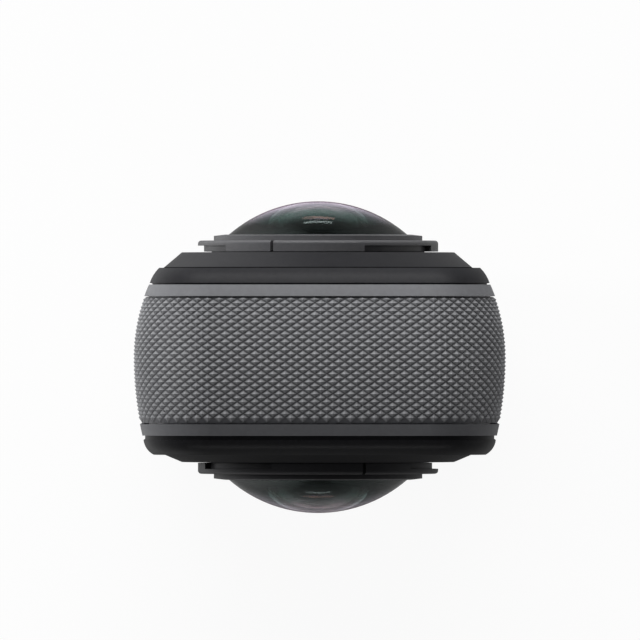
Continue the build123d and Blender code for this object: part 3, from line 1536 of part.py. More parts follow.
# Round buttons under the screen, dished
cap_y = rear_face_y - rear_button_proud
dish_curve = (rear_button_dish_radius**2 + rear_button_dish**2) / (2 * rear_button_dish)
dish_rise = dish_curve - sqrt(dish_curve**2 - (rear_button_dish_radius / 2) ** 2)
for name, place_x in (("shutter", -rear_button_x), ("view", rear_button_x)):
    button_origin = (place_x, 0, rear_button_z)
    with BuildPart() as rear_button:
        with BuildSketch(Plane(origin=button_origin, x_dir=(1, 0, 0), z_dir=(0, 0, 1))):
            with BuildLine():
                ThreePointArc(
                    (0, cap_y + rear_button_dish),
                    (rear_button_dish_radius / 2, cap_y + rear_button_dish - dish_rise),
                    (rear_button_dish_radius, cap_y),
                )
                Polyline(
                    (rear_button_dish_radius, cap_y),
                    (rear_button_radius, cap_y),
                    (rear_button_radius, rear_flange_y),
                    (rear_button_radius + rear_flange_margin, rear_flange_y),
                    (rear_button_radius + rear_flange_margin, rear_flange_y + rear_flange_thickness),
                    (0, rear_flange_y + rear_flange_thickness),
                    (0, cap_y + rear_button_dish),
                )
            make_face()
        revolve(axis=Axis(button_origin, (0, 1, 0)))
        cap_rims = rear_button.edges().filter_by(GeomType.CIRCLE).group_by(Axis.Y)[0]
        fillet(cap_rims.sort_by(SortBy.RADIUS)[-1], rear_button_fillet)
    save(rear_button, f"{name}_button")

# Loudspeaker with its cone, and the microphones
with BuildPart() as speaker:
    with BuildSketch(face_plane(front_plate_back)):
        with Locations((speaker_x, mesh_z)):
            Rectangle(speaker_width, speaker_height)
    extrude(amount=speaker_depth)
    with BuildSketch(face_plane(front_plate_back)):
        with Locations((speaker_x, mesh_z)):
            Circle(speaker_height * speaker_cone_share)
    extrude(amount=speaker_cone_depth, mode=Mode.SUBTRACT)
save(speaker, "speaker")

with BuildPart() as microphones:
    with BuildSketch(face_plane(front_plate_back)):
        with Locations((mic_x, mesh_z)):
            Rectangle(mic_width, mic_height)
    extrude(amount=mic_depth)
    with BuildSketch(face_plane(rear_plate_back)):
        with Locations((rear_mic_x, rear_button_z)):
            Rectangle(mic_width, mic_height)
    extrude(amount=-mic_depth)
save(microphones, "microphones")

# Base plate with two foot slots, threaded insert and the steel plates above
with BuildPart() as base_plate:
    with BuildSketch(Plane.XY):
        with Locations((0, side_y)):
            RectangleRounded(base_plate_width, base_plate_depth, base_plate_corner)
        Circle(tripod_collar_radius + tripod_gap, mode=Mode.SUBTRACT)
        with Locations((-foot_slot_x, side_y), (foot_slot_x, side_y)):
            Rectangle(foot_slot_width, foot_slot_depth, mode=Mode.SUBTRACT)
    extrude(amount=band_bottom_z)
save(base_plate, "base_plate")

with BuildPart() as tripod_insert:
    bore_top_z = tripod_sink + tripod_thread_depth
    with BuildSketch(Plane.XZ):
        with BuildLine():
            Polyline(
                (tripod_thread_radius + tripod_mouth_chamfer, tripod_sink),
                (tripod_collar_radius, tripod_sink),
                (tripod_collar_radius, frame_floor_z),
                (tripod_body_radius, frame_floor_z),
                (tripod_body_radius, tripod_top_z),
                (0, tripod_top_z),
                (0, bore_top_z),
                (tripod_thread_radius, bore_top_z),
                (tripod_thread_radius, tripod_sink + tripod_mouth_chamfer),
                close=True,
            )
        make_face()
    revolve(axis=Axis.Z)
save(tripod_insert, "tripod_insert")

with BuildPart() as base_strikers:
    with BuildSketch(Plane.XY.offset(frame_floor_z)):
        with Locations((-striker_x, side_y), (striker_x, side_y)):
            Rectangle(striker_width, striker_depth)
    extrude(amount=striker_thickness)
save(base_strikers, "base_strikers")

with BuildPart() as cover_screws:
    lug_back_y = screw_lug_front_y - screw_lug_thickness
    with BuildSketch(face_plane(lug_back_y)):
        with Locations(*screw_places):
            Circle(screw_head_radius)
    extrude(amount=screw_head_height)
    with BuildSketch(face_plane(lug_back_y)):
        with Locations(*screw_places):
            Circle(screw_shank_radius)
    extrude(amount=-(screw_lug_thickness + screw_bite - screw_gap))
save(cover_screws, "cover_screws")
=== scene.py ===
import math

import bmesh
import bpy
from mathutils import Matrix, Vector


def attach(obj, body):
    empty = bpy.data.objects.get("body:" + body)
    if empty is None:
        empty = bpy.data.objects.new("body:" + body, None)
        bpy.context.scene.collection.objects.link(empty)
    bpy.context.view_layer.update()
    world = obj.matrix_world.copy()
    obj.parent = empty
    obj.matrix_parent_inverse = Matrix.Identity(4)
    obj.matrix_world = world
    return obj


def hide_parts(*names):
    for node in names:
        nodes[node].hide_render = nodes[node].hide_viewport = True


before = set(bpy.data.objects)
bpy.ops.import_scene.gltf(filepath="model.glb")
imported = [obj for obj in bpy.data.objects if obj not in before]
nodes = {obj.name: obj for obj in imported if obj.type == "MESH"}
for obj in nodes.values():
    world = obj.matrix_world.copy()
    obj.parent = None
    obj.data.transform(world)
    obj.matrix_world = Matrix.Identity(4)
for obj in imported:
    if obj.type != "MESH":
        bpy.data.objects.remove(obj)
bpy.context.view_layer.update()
scene = bpy.context.scene
scene.view_settings.view_transform = "Standard"
MM = 0.001

# Main sizes of the body, in millimetres, as in the part
HALF_WIDTH, TOP, BASE_TRIM, CORNER = 23.0, 124.5, 1.0, 9.4
FRONT_CURVE, REAR_CURVE = 22.0, 42.6
BAND_FRONT, BAND_REAR, BAND_WALL = 7.45, -8.08, 1.9
SIDE_Y = (BAND_FRONT + BAND_REAR) / 2
LENS_X, LENS_Z = -0.2, 101.5
BAY_MIDDLE = 41.0


# Camera straight above, at the photograph's angle and framing
FRAME_WIDTH, LENS = 79.03 * MM, 1400.0
AIM_X, AIM_Y = 0.04, 4.61
CLIP_NEAR, CLIP_FAR = 0.1, 20
camera_data = bpy.data.cameras.new("camera")
camera_data.lens = LENS
camera_data.clip_start, camera_data.clip_end = CLIP_NEAR, CLIP_FAR
camera = bpy.data.objects.new("camera", camera_data)
distance = LENS / camera_data.sensor_width * FRAME_WIDTH
camera.location = (AIM_X * MM, AIM_Y * MM, (TOP - CORNER) * MM + distance)
scene.collection.objects.link(camera)
scene.camera = camera


# Shader helpers
DARK_STOP, LIGHT_STOP = 0.3, 0.7  # between these the noise passes from dark to light
NOISE_ROUGHNESS, LEAST_ROUGHNESS = 0.55, 0.02
GLASS_ROUGHNESS, PAINTED_SHEEN_ROUGHNESS = 0.055, 0.35
HOLLOW_TINT, INK = (0.85, 0.85, 0.85), (0.004, 0.004, 0.004)
TRACKS_PER_METRE = 420
WHITE = (1, 1, 1, 1)


def feed(tree, value, socket):
    """Link a socket to an input, or set the input to a number or a colour."""
    if isinstance(value, (int, float)):
        socket.default_value = value
    elif isinstance(value, tuple):
        socket.default_value = (*value, 1)
    else:
        tree.links.new(value, socket)


def ramp(tree, factor, stops):
    """Colour ramp fed by factor, with (position, colour) stops."""
    node = tree.nodes.new("ShaderNodeValToRGB")
    elements = node.color_ramp.elements
    while len(elements) < len(stops):
        elements.new(0.5)
    for element, (place, colour) in zip(elements, stops):
        element.position = place
        element.color = (*colour, 1)
    tree.links.new(factor, node.inputs["Fac"])
    return node.outputs["Color"]


def levels(tree, factor, stops):
    """Grey ramp fed by factor, with (position, level) stops."""
    return ramp(tree, factor, [(place, (level,) * 3) for place, level in stops])


def noise(tree, scale, detail=4, stretch=None):
    """Noise over the object's own coordinates; scale is in cells per metre."""
    coordinates = tree.nodes.new("ShaderNodeTexCoord").outputs["Object"]
    if stretch:
        mapping = tree.nodes.new("ShaderNodeMapping")
        mapping.inputs["Scale"].default_value = stretch
        tree.links.new(coordinates, mapping.inputs["Vector"])
        coordinates = mapping.outputs["Vector"]
    node = tree.nodes.new("ShaderNodeTexNoise")
    node.inputs["Scale"].default_value = scale
    node.inputs["Detail"].default_value = detail
    node.inputs["Roughness"].default_value = NOISE_ROUGHNESS
    tree.links.new(coordinates, node.inputs["Vector"])
    return node.outputs["Fac"]


def split_axes(tree, vector=None):
    """X, Y and Z of a vector, or else of the object's own coordinates."""
    split = tree.nodes.new("ShaderNodeSeparateXYZ")
    vector = vector or tree.nodes.new("ShaderNodeTexCoord").outputs["Object"]
    tree.links.new(vector, split.inputs[0])
    return split.outputs


def math_node(tree, operation, first, second=0.0):
    """One maths step on sockets or numbers."""
    node = tree.nodes.new("ShaderNodeMath")
    node.operation = operation
    feed(tree, first, node.inputs[0])
    feed(tree, second, node.inputs[1])
    return node.outputs[0]


def shades(colour, spread):
    """Darker and lighter neighbours of a colour."""
    return (
        tuple(max(0.0, c * (1 - spread)) for c in colour),
        tuple(min(1.0, c * (1 + spread)) for c in colour),
    )


def bump(tree, shader, height, strength, depth):
    """Bump from a height socket; depth is in metres."""
    node = tree.nodes.new("ShaderNodeBump")
    node.inputs["Strength"].default_value = strength
    node.inputs["Distance"].default_value = depth
    tree.links.new(height, node.inputs["Height"])
    tree.links.new(node.outputs["Normal"], shader.inputs["Normal"])


def blend(tree, factor, first, second, mode="MIX"):
    """Mix of two colours or colour sockets by a factor."""
    node = tree.nodes.new("ShaderNodeMix")
    node.data_type = "RGBA"
    node.blend_type = mode
    feed(tree, factor, node.inputs["Factor"])
    feed(tree, first, node.inputs["A"])
    feed(tree, second, node.inputs["B"])
    return node.outputs["Result"]


def mix_shader(tree, factor, first, second):
    """Mix of two shaders by a factor socket."""
    node = tree.nodes.new("ShaderNodeMixShader")
    for socket, source in zip(node.inputs, (factor, first, second)):
        tree.links.new(source, socket)
    return node.outputs[0]


def new_material(name):
    """A material with its node tree and its Principled shader."""
    material = bpy.data.materials.new(name)
    material.use_nodes = True
    tree = material.node_tree
    return material, tree, tree.nodes["Principled BSDF"]


def recolour(tree, factor, colour, mode="MIX"):
    """Mix a colour over the base colour that the Principled shader has so far."""
    socket = tree.nodes["Principled BSDF"].inputs["Base Color"]
    tree.links.new(blend(tree, factor, socket.links[0].from_socket, colour, mode), socket)


def surface(
    name, colour, rough=0.4, metal=0.0, spread=0.15, cells=1600, grain=9000, depth=0.00002,
    bump_strength=0.25, rough_spread=0.08, specular=0.5, coat=0.0, stretch=None, tint=None,
):
    """A material with a mottled colour, uneven roughness and a fine grain in its normal.
    cells and grain are per metre, depth is in metres."""
    material, tree, shader = new_material(name)
    dark, light = shades(colour, spread)
    broad = noise(tree, cells, 5, stretch)
    mottled = ramp(tree, broad, ((DARK_STOP, dark), (LIGHT_STOP, light)))
    tree.links.new(mottled, shader.inputs["Base Color"])
    fine = noise(tree, grain, 3, stretch)
    low, high = max(LEAST_ROUGHNESS, rough - rough_spread), min(1.0, rough + rough_spread)
    uneven = levels(tree, fine, ((DARK_STOP, low), (LIGHT_STOP, high)))
    tree.links.new(uneven, shader.inputs["Roughness"])
    shader.inputs["Metallic"].default_value = metal
    shader.inputs["Specular IOR Level"].default_value = specular
    shader.inputs["Coat Weight"].default_value = coat
    if tint:
        shader.inputs["Specular Tint"].default_value = (*tint, 1)
    bump(tree, shader, fine, bump_strength, depth)
    return material


def glass(name, stops, tint, ior, ink_depth, hollow=None, painted_sheen=None):
    """Coated glass: stops give its tint from square on (0) to edge on (1).
    Nearer to the mid plane than ink_depth, its ground edge and foot are inked black.
    hollow is the sphere of its inner face: (centre's depth, radius, coating's tint, tint
    stops where light leaves the glass, from ink_depth (0) to top (1), depth of that top).
    Those tint stops hold painted shade at the foot and a painted reflection near the top.
    sheen is a dull coat with a painted reflection in teal, lilac and a dark magenta edge:
    (facing stops of its share, facing stops of its colour, depth where it starts, depth of its
    fade)."""
    material, tree, shader = new_material(name)
    facing = tree.nodes.new("ShaderNodeLayerWeight").outputs["Facing"]
    axes = split_axes(tree)
    depth = math_node(tree, "ABSOLUTE", axes["Y"])
    colour = ramp(tree, facing, stops)
    shader.inputs["Transmission Weight"].default_value = 1.0
    shader.inputs["Roughness"].default_value = GLASS_ROUGHNESS
    shader.inputs["IOR"].default_value = ior
    shader.inputs["Specular Tint"].default_value = (*tint, 1)
    if hollow:
        centre, radius, back_tint, exit_shade_and_reflection, top = hollow
        offsets = (
            math_node(tree, "SUBTRACT", axes["X"], LENS_X * MM),
            math_node(tree, "SUBTRACT", depth, centre * MM),
            math_node(tree, "SUBTRACT", axes["Z"], LENS_Z * MM),
        )
        first, second, third = (math_node(tree, "MULTIPLY", value, value) for value in offsets)
        square = math_node(tree, "ADD", math_node(tree, "ADD", first, second), third)
        inside = math_node(tree, "LESS_THAN", square, (radius * MM) ** 2)
        tree.links.new(blend(tree, inside, tint, back_tint), shader.inputs["Specular Tint"])
        # Painted shade and reflection: where light leaves the glass its tint follows the height,
        # dark at the foot and lilac near the top
        height = math_node(tree, "SUBTRACT", depth, ink_depth * MM)
        height = math_node(tree, "DIVIDE", height, (top - ink_depth) * MM)
        behind = tree.nodes.new("ShaderNodeNewGeometry").outputs["Backfacing"]
        colour = blend(tree, behind, colour, ramp(tree, height, exit_shade_and_reflection))
        colour = blend(tree, inside, colour, HOLLOW_TINT)
    tree.links.new(colour, shader.inputs["Base Color"])
    result = shader.outputs[0]
    # Painted reflection: a dull coat whose teal, lilac and dark magenta stand in for reflections,
    # by facing, fading in with depth
    if painted_sheen:
        share, colours, start, rise = painted_sheen
        coat = tree.nodes.new("ShaderNodeBsdfPrincipled")
        coat.inputs["Roughness"].default_value = PAINTED_SHEEN_ROUGHNESS
        tree.links.new(ramp(tree, facing, colours), coat.inputs["Base Color"])
        fade = math_node(tree, "SUBTRACT", depth, start * MM)
        fade = math_node(tree, "DIVIDE", fade, rise * MM)
        fade = math_node(tree, "MINIMUM", math_node(tree, "MAXIMUM", fade, 0.0), 1.0)
        amount = math_node(tree, "MULTIPLY", levels(tree, facing, share), fade)
        result = mix_shader(tree, amount, result, coat.outputs[0])
    ink = tree.nodes.new("ShaderNodeBsdfDiffuse")
    ink.inputs["Color"].default_value = (*INK, 1)
    inked = math_node(tree, "LESS_THAN", depth, ink_depth * MM)
    result = mix_shader(tree, inked, result, ink.outputs[0])
    tree.links.new(result, tree.nodes["Material Output"].inputs["Surface"])
    return material


def circuit(name, mask, copper):
    """Solder mask with paler tracks under it."""
    material, tree, shader = new_material(name)
    coordinates = tree.nodes.new("ShaderNodeTexCoord").outputs["Object"]
    cells = tree.nodes.new("ShaderNodeTexVoronoi")
    cells.distance = "CHEBYCHEV"
    cells.feature = "DISTANCE_TO_EDGE"
    cells.inputs["Scale"].default_value = TRACKS_PER_METRE
    tree.links.new(coordinates, cells.inputs["Vector"])
    tracks = ramp(tree, cells.outputs["Distance"], ((0.04, copper), (0.07, mask)))
    tree.links.new(tracks, shader.inputs["Base Color"])
    shader.inputs["Roughness"].default_value = 0.32
    bump(tree, shader, cells.outputs["Distance"], 0.2, 0.00003)
    return material


def masked(name, base, patches, **settings):
    """A surface with round or square patches of other colours at given places.
    Each patch is (centre x, centre z, half width, half height, round, colour) in millimetres."""
    material = surface(name, base, **settings)
    tree = material.node_tree
    axes = split_axes(tree)
    for x, z, half_x, half_z, is_round, colour in patches:
        shift_x = math_node(tree, "SUBTRACT", axes["X"], x * MM)
        shift_z = math_node(tree, "SUBTRACT", axes["Z"], z * MM)
        far_x = math_node(tree, "DIVIDE", math_node(tree, "ABSOLUTE", shift_x), half_x * MM)
        far_z = math_node(tree, "DIVIDE", math_node(tree, "ABSOLUTE", shift_z), half_z * MM)
        if is_round:
            square_x = math_node(tree, "MULTIPLY", far_x, far_x)
            square_z = math_node(tree, "MULTIPLY", far_z, far_z)
            reach = math_node(tree, "ADD", square_x, square_z)
        else:
            reach = math_node(tree, "MAXIMUM", far_x, far_z)
        recolour(tree, math_node(tree, "LESS_THAN", reach, 1.0), colour)
    return material


def knurl_material(name, colour):
    """Moulded rubber, with painted shade that darkens it towards the valleys between its peaks."""
    material = surface(
        name, colour, rough=0.42, spread=0.10, cells=2500, grain=26000, depth=0.00001,
        bump_strength=0.2,
    )
    tree = material.node_tree
    height = tree.nodes.new("ShaderNodeAttribute")
    height.attribute_name = "peak"
    # Painted shade: the colour falls towards the valleys and rises a little on the peaks
    valley_shade = ramp(
        tree, height.outputs["Fac"],
        ((0.0, (0.34, 0.34, 0.35)), (0.4, (0.92, 0.92, 0.92)), (1.0, (1.02, 1.02, 1.02))),
    )
    recolour(tree, 1.0, valley_shade, "MULTIPLY")
    return material


def joint_shade_line(material, depth, colour, specular):
    """Darken a material nearer to the mid plane than depth, as painted shade in its joint.
    Elsewhere it keeps its colour, and specular."""
    tree = material.node_tree
    inside = math_node(tree, "ABSOLUTE", split_axes(tree)["Y"])
    inside = math_node(tree, "LESS_THAN", inside, depth * MM)
    recolour(tree, inside, colour)
    level = math_node(tree, "MULTIPLY", math_node(tree, "SUBTRACT", 1.0, inside), specular)
    tree.links.new(level, tree.nodes["Principled BSDF"].inputs["Specular IOR Level"])


# Materials
SEAT_SPECULAR, SEAT_JOINT_DEPTH, JOINT_SHADE_BLACK = 0.35, 11.17, (0.002, 0.002, 0.002)
knurled = knurl_material("knurled_rubber", (0.200, 0.202, 0.211))
satin_grey = surface(
    "satin_grey", (0.138, 0.140, 0.148), rough=0.42, specular=0.3, spread=0.06, grain=14000,
)
# Painted shade: a darker copy of satin_grey for the rear trim, on the side away from the key light
rear_shaded_grey = surface(
    "rear_shaded_satin_grey", (0.098, 0.099, 0.105), rough=0.42, specular=0.3, spread=0.06, grain=14000,
)
dark_shell = surface(
    "dark_shell", (0.015, 0.015, 0.017), rough=0.42, spread=0.10, grain=14000, specular=0.25,
)
seat_satin = surface(
    "seat_satin", (0.013, 0.013, 0.015), rough=0.34, spread=0.08, grain=14000,
    specular=SEAT_SPECULAR,
)
# Painted shade in the joint where the front lens seat meets the front cover
joint_shade_line(seat_satin, SEAT_JOINT_DEPTH, JOINT_SHADE_BLACK, SEAT_SPECULAR)
gloss_black = surface(
    "gloss_black", (0.009, 0.009, 0.010), rough=0.36, spread=0.2, rough_spread=0.04, grain=9000,
    depth=0.000004, specular=0.16,
)
# Painted shade: a darker, duller copy of seat_satin for the rear lens seat
rear_shaded_seat = surface(
    "rear_shaded_seat_black", (0.007, 0.007, 0.008), rough=0.42, spread=0.15, grain=9000, specular=0.04,
)
ring_satin = surface(
    "ring_satin", (0.075, 0.075, 0.079), rough=0.34, spread=0.08, grain=12000,
)
# Painted shade: a darker copy of ring_satin and bezel_satin for the rear lens ring and bezel
rear_shaded_ring = surface(
    "rear_shaded_ring_black", (0.022, 0.022, 0.024), rough=0.40, spread=0.08, grain=12000, specular=0.2,
)
bezel_satin = surface(
    "bezel_satin", (0.075, 0.075, 0.079), rough=0.30, spread=0.06, grain=16000,
)
deep_black = surface("deep_black", (0.008, 0.008, 0.009), rough=0.62, spread=0.2, grain=8000)
silicone = surface(
    "silicone", (0.030, 0.030, 0.032), rough=0.62, spread=0.12, grain=18000, depth=0.00003,
)
rubber_red = surface("seal_rubber", (0.30, 0.045, 0.018), rough=0.5)
alloy = surface(
    "cast_alloy", (0.34, 0.34, 0.35), rough=0.42, metal=0.9, cells=900, grain=3500, depth=0.00005,
)
steel = surface(
    "brushed_steel", (0.52, 0.52, 0.53), rough=0.28, metal=1.0, stretch=(1, 1, 14), grain=4000,
    spread=0.06,
)
dark_steel = surface("dark_steel", (0.06, 0.06, 0.065), rough=0.32, metal=0.7, grain=9000)
copper = surface(
    "copper_sheet", (0.68, 0.33, 0.19), rough=0.30, metal=1.0, stretch=(9, 1, 1), grain=2500,
)
gold = surface("gold_plate", (0.78, 0.55, 0.20), rough=0.22, metal=1.0, grain=6000)
green_board = circuit("solder_mask", (0.010, 0.055, 0.030), (0.030, 0.115, 0.060))
flat_cable = surface(
    "flat_cable", (0.42, 0.19, 0.035), rough=0.35, stretch=(22, 1, 1), spread=0.25,
)
chip = surface(
    "sensor_chip", (0.020, 0.022, 0.040), rough=0.12, spread=0.5, tint=(0.6, 0.7, 1.0),
)
battery_case = masked(
    "battery_case", (0.030, 0.030, 0.033),
    [(14.0, 19.3 + step, 3.0, 0.75, False, (0.70, 0.50, 0.18)) for step in (-3, -1, 1, 3)],
    rough=0.5, grain=12000,
)
card_black = masked(
    "card_black", (0.014, 0.014, 0.016),
    [(0.0, 66.1, 40.0, 0.05, False, (0.10, 0.10, 0.11))],
    rough=0.38, grain=12000,
)
cap_black = surface("cap_black", (0.040, 0.040, 0.043), rough=0.40, spread=0.1, grain=16000)
shutter_cap = masked(
    "shutter_cap", (0.026, 0.026, 0.029), [(-8.2, 14.2, 1.55, 1.55, True, (0.55, 0.020, 0.016))],
    rough=0.30, grain=16000,
)
view_cap = masked(
    "view_cap", (0.026, 0.026, 0.029),
    [
        (8.2, 14.2, 1.75, 1.75, True, (0.42, 0.42, 0.43)),
        (8.2, 14.2, 1.45, 1.45, True, (0.026, 0.026, 0.029)),
    ],
    rough=0.30, grain=16000,
)
orange = surface("latch_orange", (0.62, 0.13, 0.018), rough=0.42, spread=0.08)
light_pipe = surface("light_pipe", (0.52, 0.54, 0.54), rough=0.3, spread=0.06, coat=0.4)
screen_black = masked(
    "screen_glass_black", (0.0042, 0.0042, 0.005),
    [(0.0, 53.5, 17.5, 27.0, False, (0.0085, 0.0088, 0.0105))],
    rough=0.05, rough_spread=0.01, grain=3000, depth=0.000001, bump_strength=0.05,
)
# Painted shade and painted reflection in the dome's tint where light leaves it: near black at the
# foot, teal, then lilac near the top
dome_exit_shade_and_reflection = (
    (0.0, (0.0, 0.0, 0.0)), (0.40, (0.003, 0.005, 0.005)), (0.60, (0.028, 0.066, 0.056)),
    (0.78, (0.14, 0.18, 0.18)), (0.89, (0.80, 0.70, 0.85)), (0.97, (1.0, 0.94, 1.0)),
    (1.0, (0.35, 0.2, 0.33)),
)
# Painted reflection on the dome: teal, lilac and a dark magenta edge in a dull coat
dome_painted_sheen_share = ((0.42, 0.0), (0.56, 0.34), (0.72, 0.36), (0.85, 0.54), (0.93, 0.95))
dome_painted_sheen_colours = (
    (0.46, (0.03, 0.10, 0.085)), (0.62, (0.09, 0.20, 0.175)), (0.73, (0.26, 0.27, 0.32)),
    (0.84, (0.55, 0.49, 0.60)), (0.91, (0.07, 0.02, 0.055)),
)
dome_glass = glass(
    "dome_glass",
    ((0.0, (0.80, 0.84, 0.83)), (0.5, (0.72, 0.78, 0.77)), (1.0, (0.85, 0.80, 0.86))),
    tint=(0.12, 0.24, 0.21), ior=1.62, ink_depth=14.2,
    hollow=(10.57, 7.8, (0.95, 0.46, 0.38), dome_exit_shade_and_reflection, 19.35),
    painted_sheen=(dome_painted_sheen_share, dome_painted_sheen_colours, 16.3, 2.4),
)
inner_glass = glass(
    "inner_glass",
    ((0.0, (0.26, 0.22, 0.27)), (0.5, (0.20, 0.12, 0.12)), (1.0, (0.60, 0.36, 0.30))),
    tint=(1.0, 0.95, 0.92), ior=1.7, ink_depth=12.2,
)
field_glass = glass(
    "field_glass", ((0.0, (0.80, 0.80, 0.86)), (1.0, (0.60, 0.55, 0.75))),
    tint=(0.6, 0.5, 1.0), ior=1.6, ink_depth=0.0,
)

# The material of each node of the part
looks = {
    "front_trim": satin_grey, "rear_trim": rear_shaded_grey,
    "front_cover": dark_shell, "rear_cover": gloss_black,
    "front_lens_seat": seat_satin, "rear_lens_seat": rear_shaded_seat,
    "front_lens_bezel": bezel_satin, "rear_lens_bezel": rear_shaded_ring,
    "front_lens_ring": ring_satin, "rear_lens_ring": rear_shaded_ring,
    "screen_glass": screen_black, "display_panel": screen_black, "front_grip_pad": silicone,
    "mic_guard": dark_steel, "status_light_pipes": light_pipe, "mid_frame": alloy,
    "battery_pack": battery_case, "battery_seal": rubber_red, "upper_latch": orange,
    "lower_latch": orange, "battery_contacts": gold, "card_socket": steel,
    "memory_card": card_black, "usb_receptacle": steel, "usb_board": green_board,
    "usb_door": cap_black, "usb_door_seal": silicone, "usb_door_pin": steel,
    "power_button": cap_black, "quick_button": cap_black, "shutter_button": shutter_cap,
    "view_button": view_cap, "side_key_board": green_board, "main_board": green_board,
    "shield_can": steel, "display_flex": flat_cable, "sensor_flexes": flat_cable,
    "heat_spreader": copper, "speaker": deep_black, "microphones": dark_steel,
    "base_plate": cap_black, "base_strikers": steel, "cover_screws": steel,
}
for side in ("front", "rear"):
    looks.update({
        f"{side}_dome": dome_glass, f"{side}_inner_element": inner_glass,
        f"{side}_field_element": field_glass, f"{side}_lens_barrel": deep_black,
        f"{side}_seal_ring": silicone, f"{side}_sensor": chip, f"{side}_sensor_board": green_board,
    })
for name, material in looks.items():
    slots = nodes[name].data.materials
    slots.clear()
    slots.append(material)


# Mesh helpers
def make(name, vertices, faces, material):
    """A mesh object from points in millimetres."""
    mesh = bpy.data.meshes.new(name)
    mesh.from_pydata([tuple(c * MM for c in v) for v in vertices], [], faces)
    mesh.materials.append(material)
    mesh.shade_flat()
    made = bpy.data.objects.new(name, mesh)
    scene.collection.objects.link(made)
    return made


def face_outwards(made):
    """Turn the faces of a closed mesh outwards."""
    edit = bmesh.new()
    edit.from_mesh(made.data)
    bmesh.ops.recalc_face_normals(edit, faces=edit.faces)
    edit.to_mesh(made.data)
    edit.free()


def rounded_loop(half_a, half_b, radius, steps=8):
    """Corner points of a rounded rectangle about the origin, anticlockwise."""
    loop = []
    for turn, (side_a, side_b) in enumerate(((1, 1), (-1, 1), (-1, -1), (1, -1))):
        for step in range(steps + 1):
            angle = math.radians(90 * turn + 90 * step / steps)
            loop.append((
                side_a * (half_a - radius) + radius * math.cos(angle),
                side_b * (half_b - radius) + radius * math.sin(angle),
            ))
    return loop


def shifted(loop, a, b):
    """A loop moved by a and b."""
    return [(x + a, y + b) for x, y in loop]


def prism(name, loop, low, high, axis):
    """Closed prism along an axis; its loop's points are in Y, Z for X, in X, Z for Y, else X, Y."""
    place = {
        "X": lambda a, b, d: (d, a, b),
        "Y": lambda a, b, d: (a, d, b),
        "Z": lambda a, b, d: (a, b, d),
    }[axis]
    count = len(loop)
    vertices = [place(a, b, low) for a, b in loop] + [place(a, b, high) for a, b in loop]
    faces = [tuple(range(count)), tuple(range(2 * count - 1, count - 1, -1))]
    faces += [(i, i + count, (i + 1) % count + count, (i + 1) % count) for i in range(count)]
    made = make(name, vertices, faces, deep_black)
    face_outwards(made)
    return made


def combine(piece, tool, operation):
    """Exact boolean of a piece with a tool, which is then removed."""
    modifier = piece.modifiers.new("cut", "BOOLEAN")
    modifier.operation = operation
    modifier.solver = "EXACT"
    modifier.object = tool
    evaluated = piece.evaluated_get(bpy.context.evaluated_depsgraph_get())
    mesh = bpy.data.meshes.new_from_object(evaluated)
    piece.modifiers.clear()
    piece.data = mesh
    bpy.data.objects.remove(tool)


def lathe(name, profile, material, steps, wave):
    """Closed solid turned about the Z axis; profile is a closed loop of (radius, height) points.
    wave changes a radius: wave(radius, height, angle)."""
    vertices, faces, rings = [], [], []
    for radius, height in profile:
        if radius <= 0:
            vertices.append((0, 0, height))
            rings.append([len(vertices) - 1])
            continue
        ring = []
        for step in range(steps):
            angle = 2 * math.pi * step / steps
            reach = wave(radius, height, angle)
            vertices.append((reach * math.sin(angle), reach * math.cos(angle), height))
            ring.append(len(vertices) - 1)
        rings.append(ring)
    for first, second in zip(rings, rings[1:] + rings[:1]):
        if len(first) == 1 and len(second) == 1:
            continue
        for step in range(steps):
            after = (step + 1) % steps
            if len(first) == 1:
                faces.append((first[0], second[after], second[step]))
            elif len(second) == 1:
                faces.append((first[step], first[after], second[0]))
            else:
                faces.append((first[step], first[after], second[after], second[step]))
    made = make(name, vertices, faces, material)
    face_outwards(made)
    return made


# Grip texture: staggered rows of small pyramids that run round the whole band
COLUMNS, ROWS, KNURL_DEPTH = 222, 32, 0.30
PHASE, ROW_SHIFT = 0.21, 0.38  # in half columns round, and in rows across
straight_x, straight_z = 2 * (HALF_WIDTH - CORNER), TOP + BASE_TRIM - 2 * CORNER
quarter = math.pi / 2 * CORNER
perimeter = 2 * (straight_x + straight_z) + 4 * quarter
front_arc = FRONT_CURVE * math.asin(BAND_FRONT / FRONT_CURVE)
rear_arc = REAR_CURVE * math.asin(-BAND_REAR / REAR_CURVE)


def outline_point(travel):
    """Point and outward normal on the widest outline, at a distance from the middle of the top.
    A line's run has its start and heading, an arc's has its centre and first normal's angle."""
    travel %= perimeter
    runs = (
        (straight_x / 2, "line", (0, TOP), (1, 0)),
        (quarter, "arc", (straight_x / 2, TOP - CORNER), 90),
        (straight_z, "line", (HALF_WIDTH, TOP - CORNER), (0, -1)),
        (quarter, "arc", (straight_x / 2, CORNER - BASE_TRIM), 0),
        (straight_x, "line", (straight_x / 2, -BASE_TRIM), (-1, 0)),
        (quarter, "arc", (-straight_x / 2, CORNER - BASE_TRIM), -90),
        (straight_z, "line", (-HALF_WIDTH, CORNER - BASE_TRIM), (0, 1)),
        (quarter, "arc", (-straight_x / 2, TOP - CORNER), 180),
        (straight_x / 2, "line", (-straight_x / 2, TOP), (1, 0)),
    )
    for length, kind, start, heading in runs:
        if travel <= length:
            break
        travel -= length
    if kind == "line":
        point = (start[0] + heading[0] * travel, start[1] + heading[1] * travel)
        return point, (-heading[1], heading[0])
    angle = math.radians(heading) - travel / CORNER
    normal = (math.cos(angle), math.sin(angle))
    return (start[0] + CORNER * normal[0], start[1] + CORNER * normal[1]), normal


def band_place(row):
    """Depth y and inset of a texture row, from 0 at the rear edge to ROWS at the front edge."""
    place = row + (ROW_SHIFT if 0 < row < ROWS else 0)
    arc = -rear_arc + (rear_arc + front_arc) * place / ROWS
    curve = FRONT_CURVE if arc >= 0 else REAR_CURVE
    return curve * math.sin(arc / curve), curve * (1 - math.cos(arc / curve))


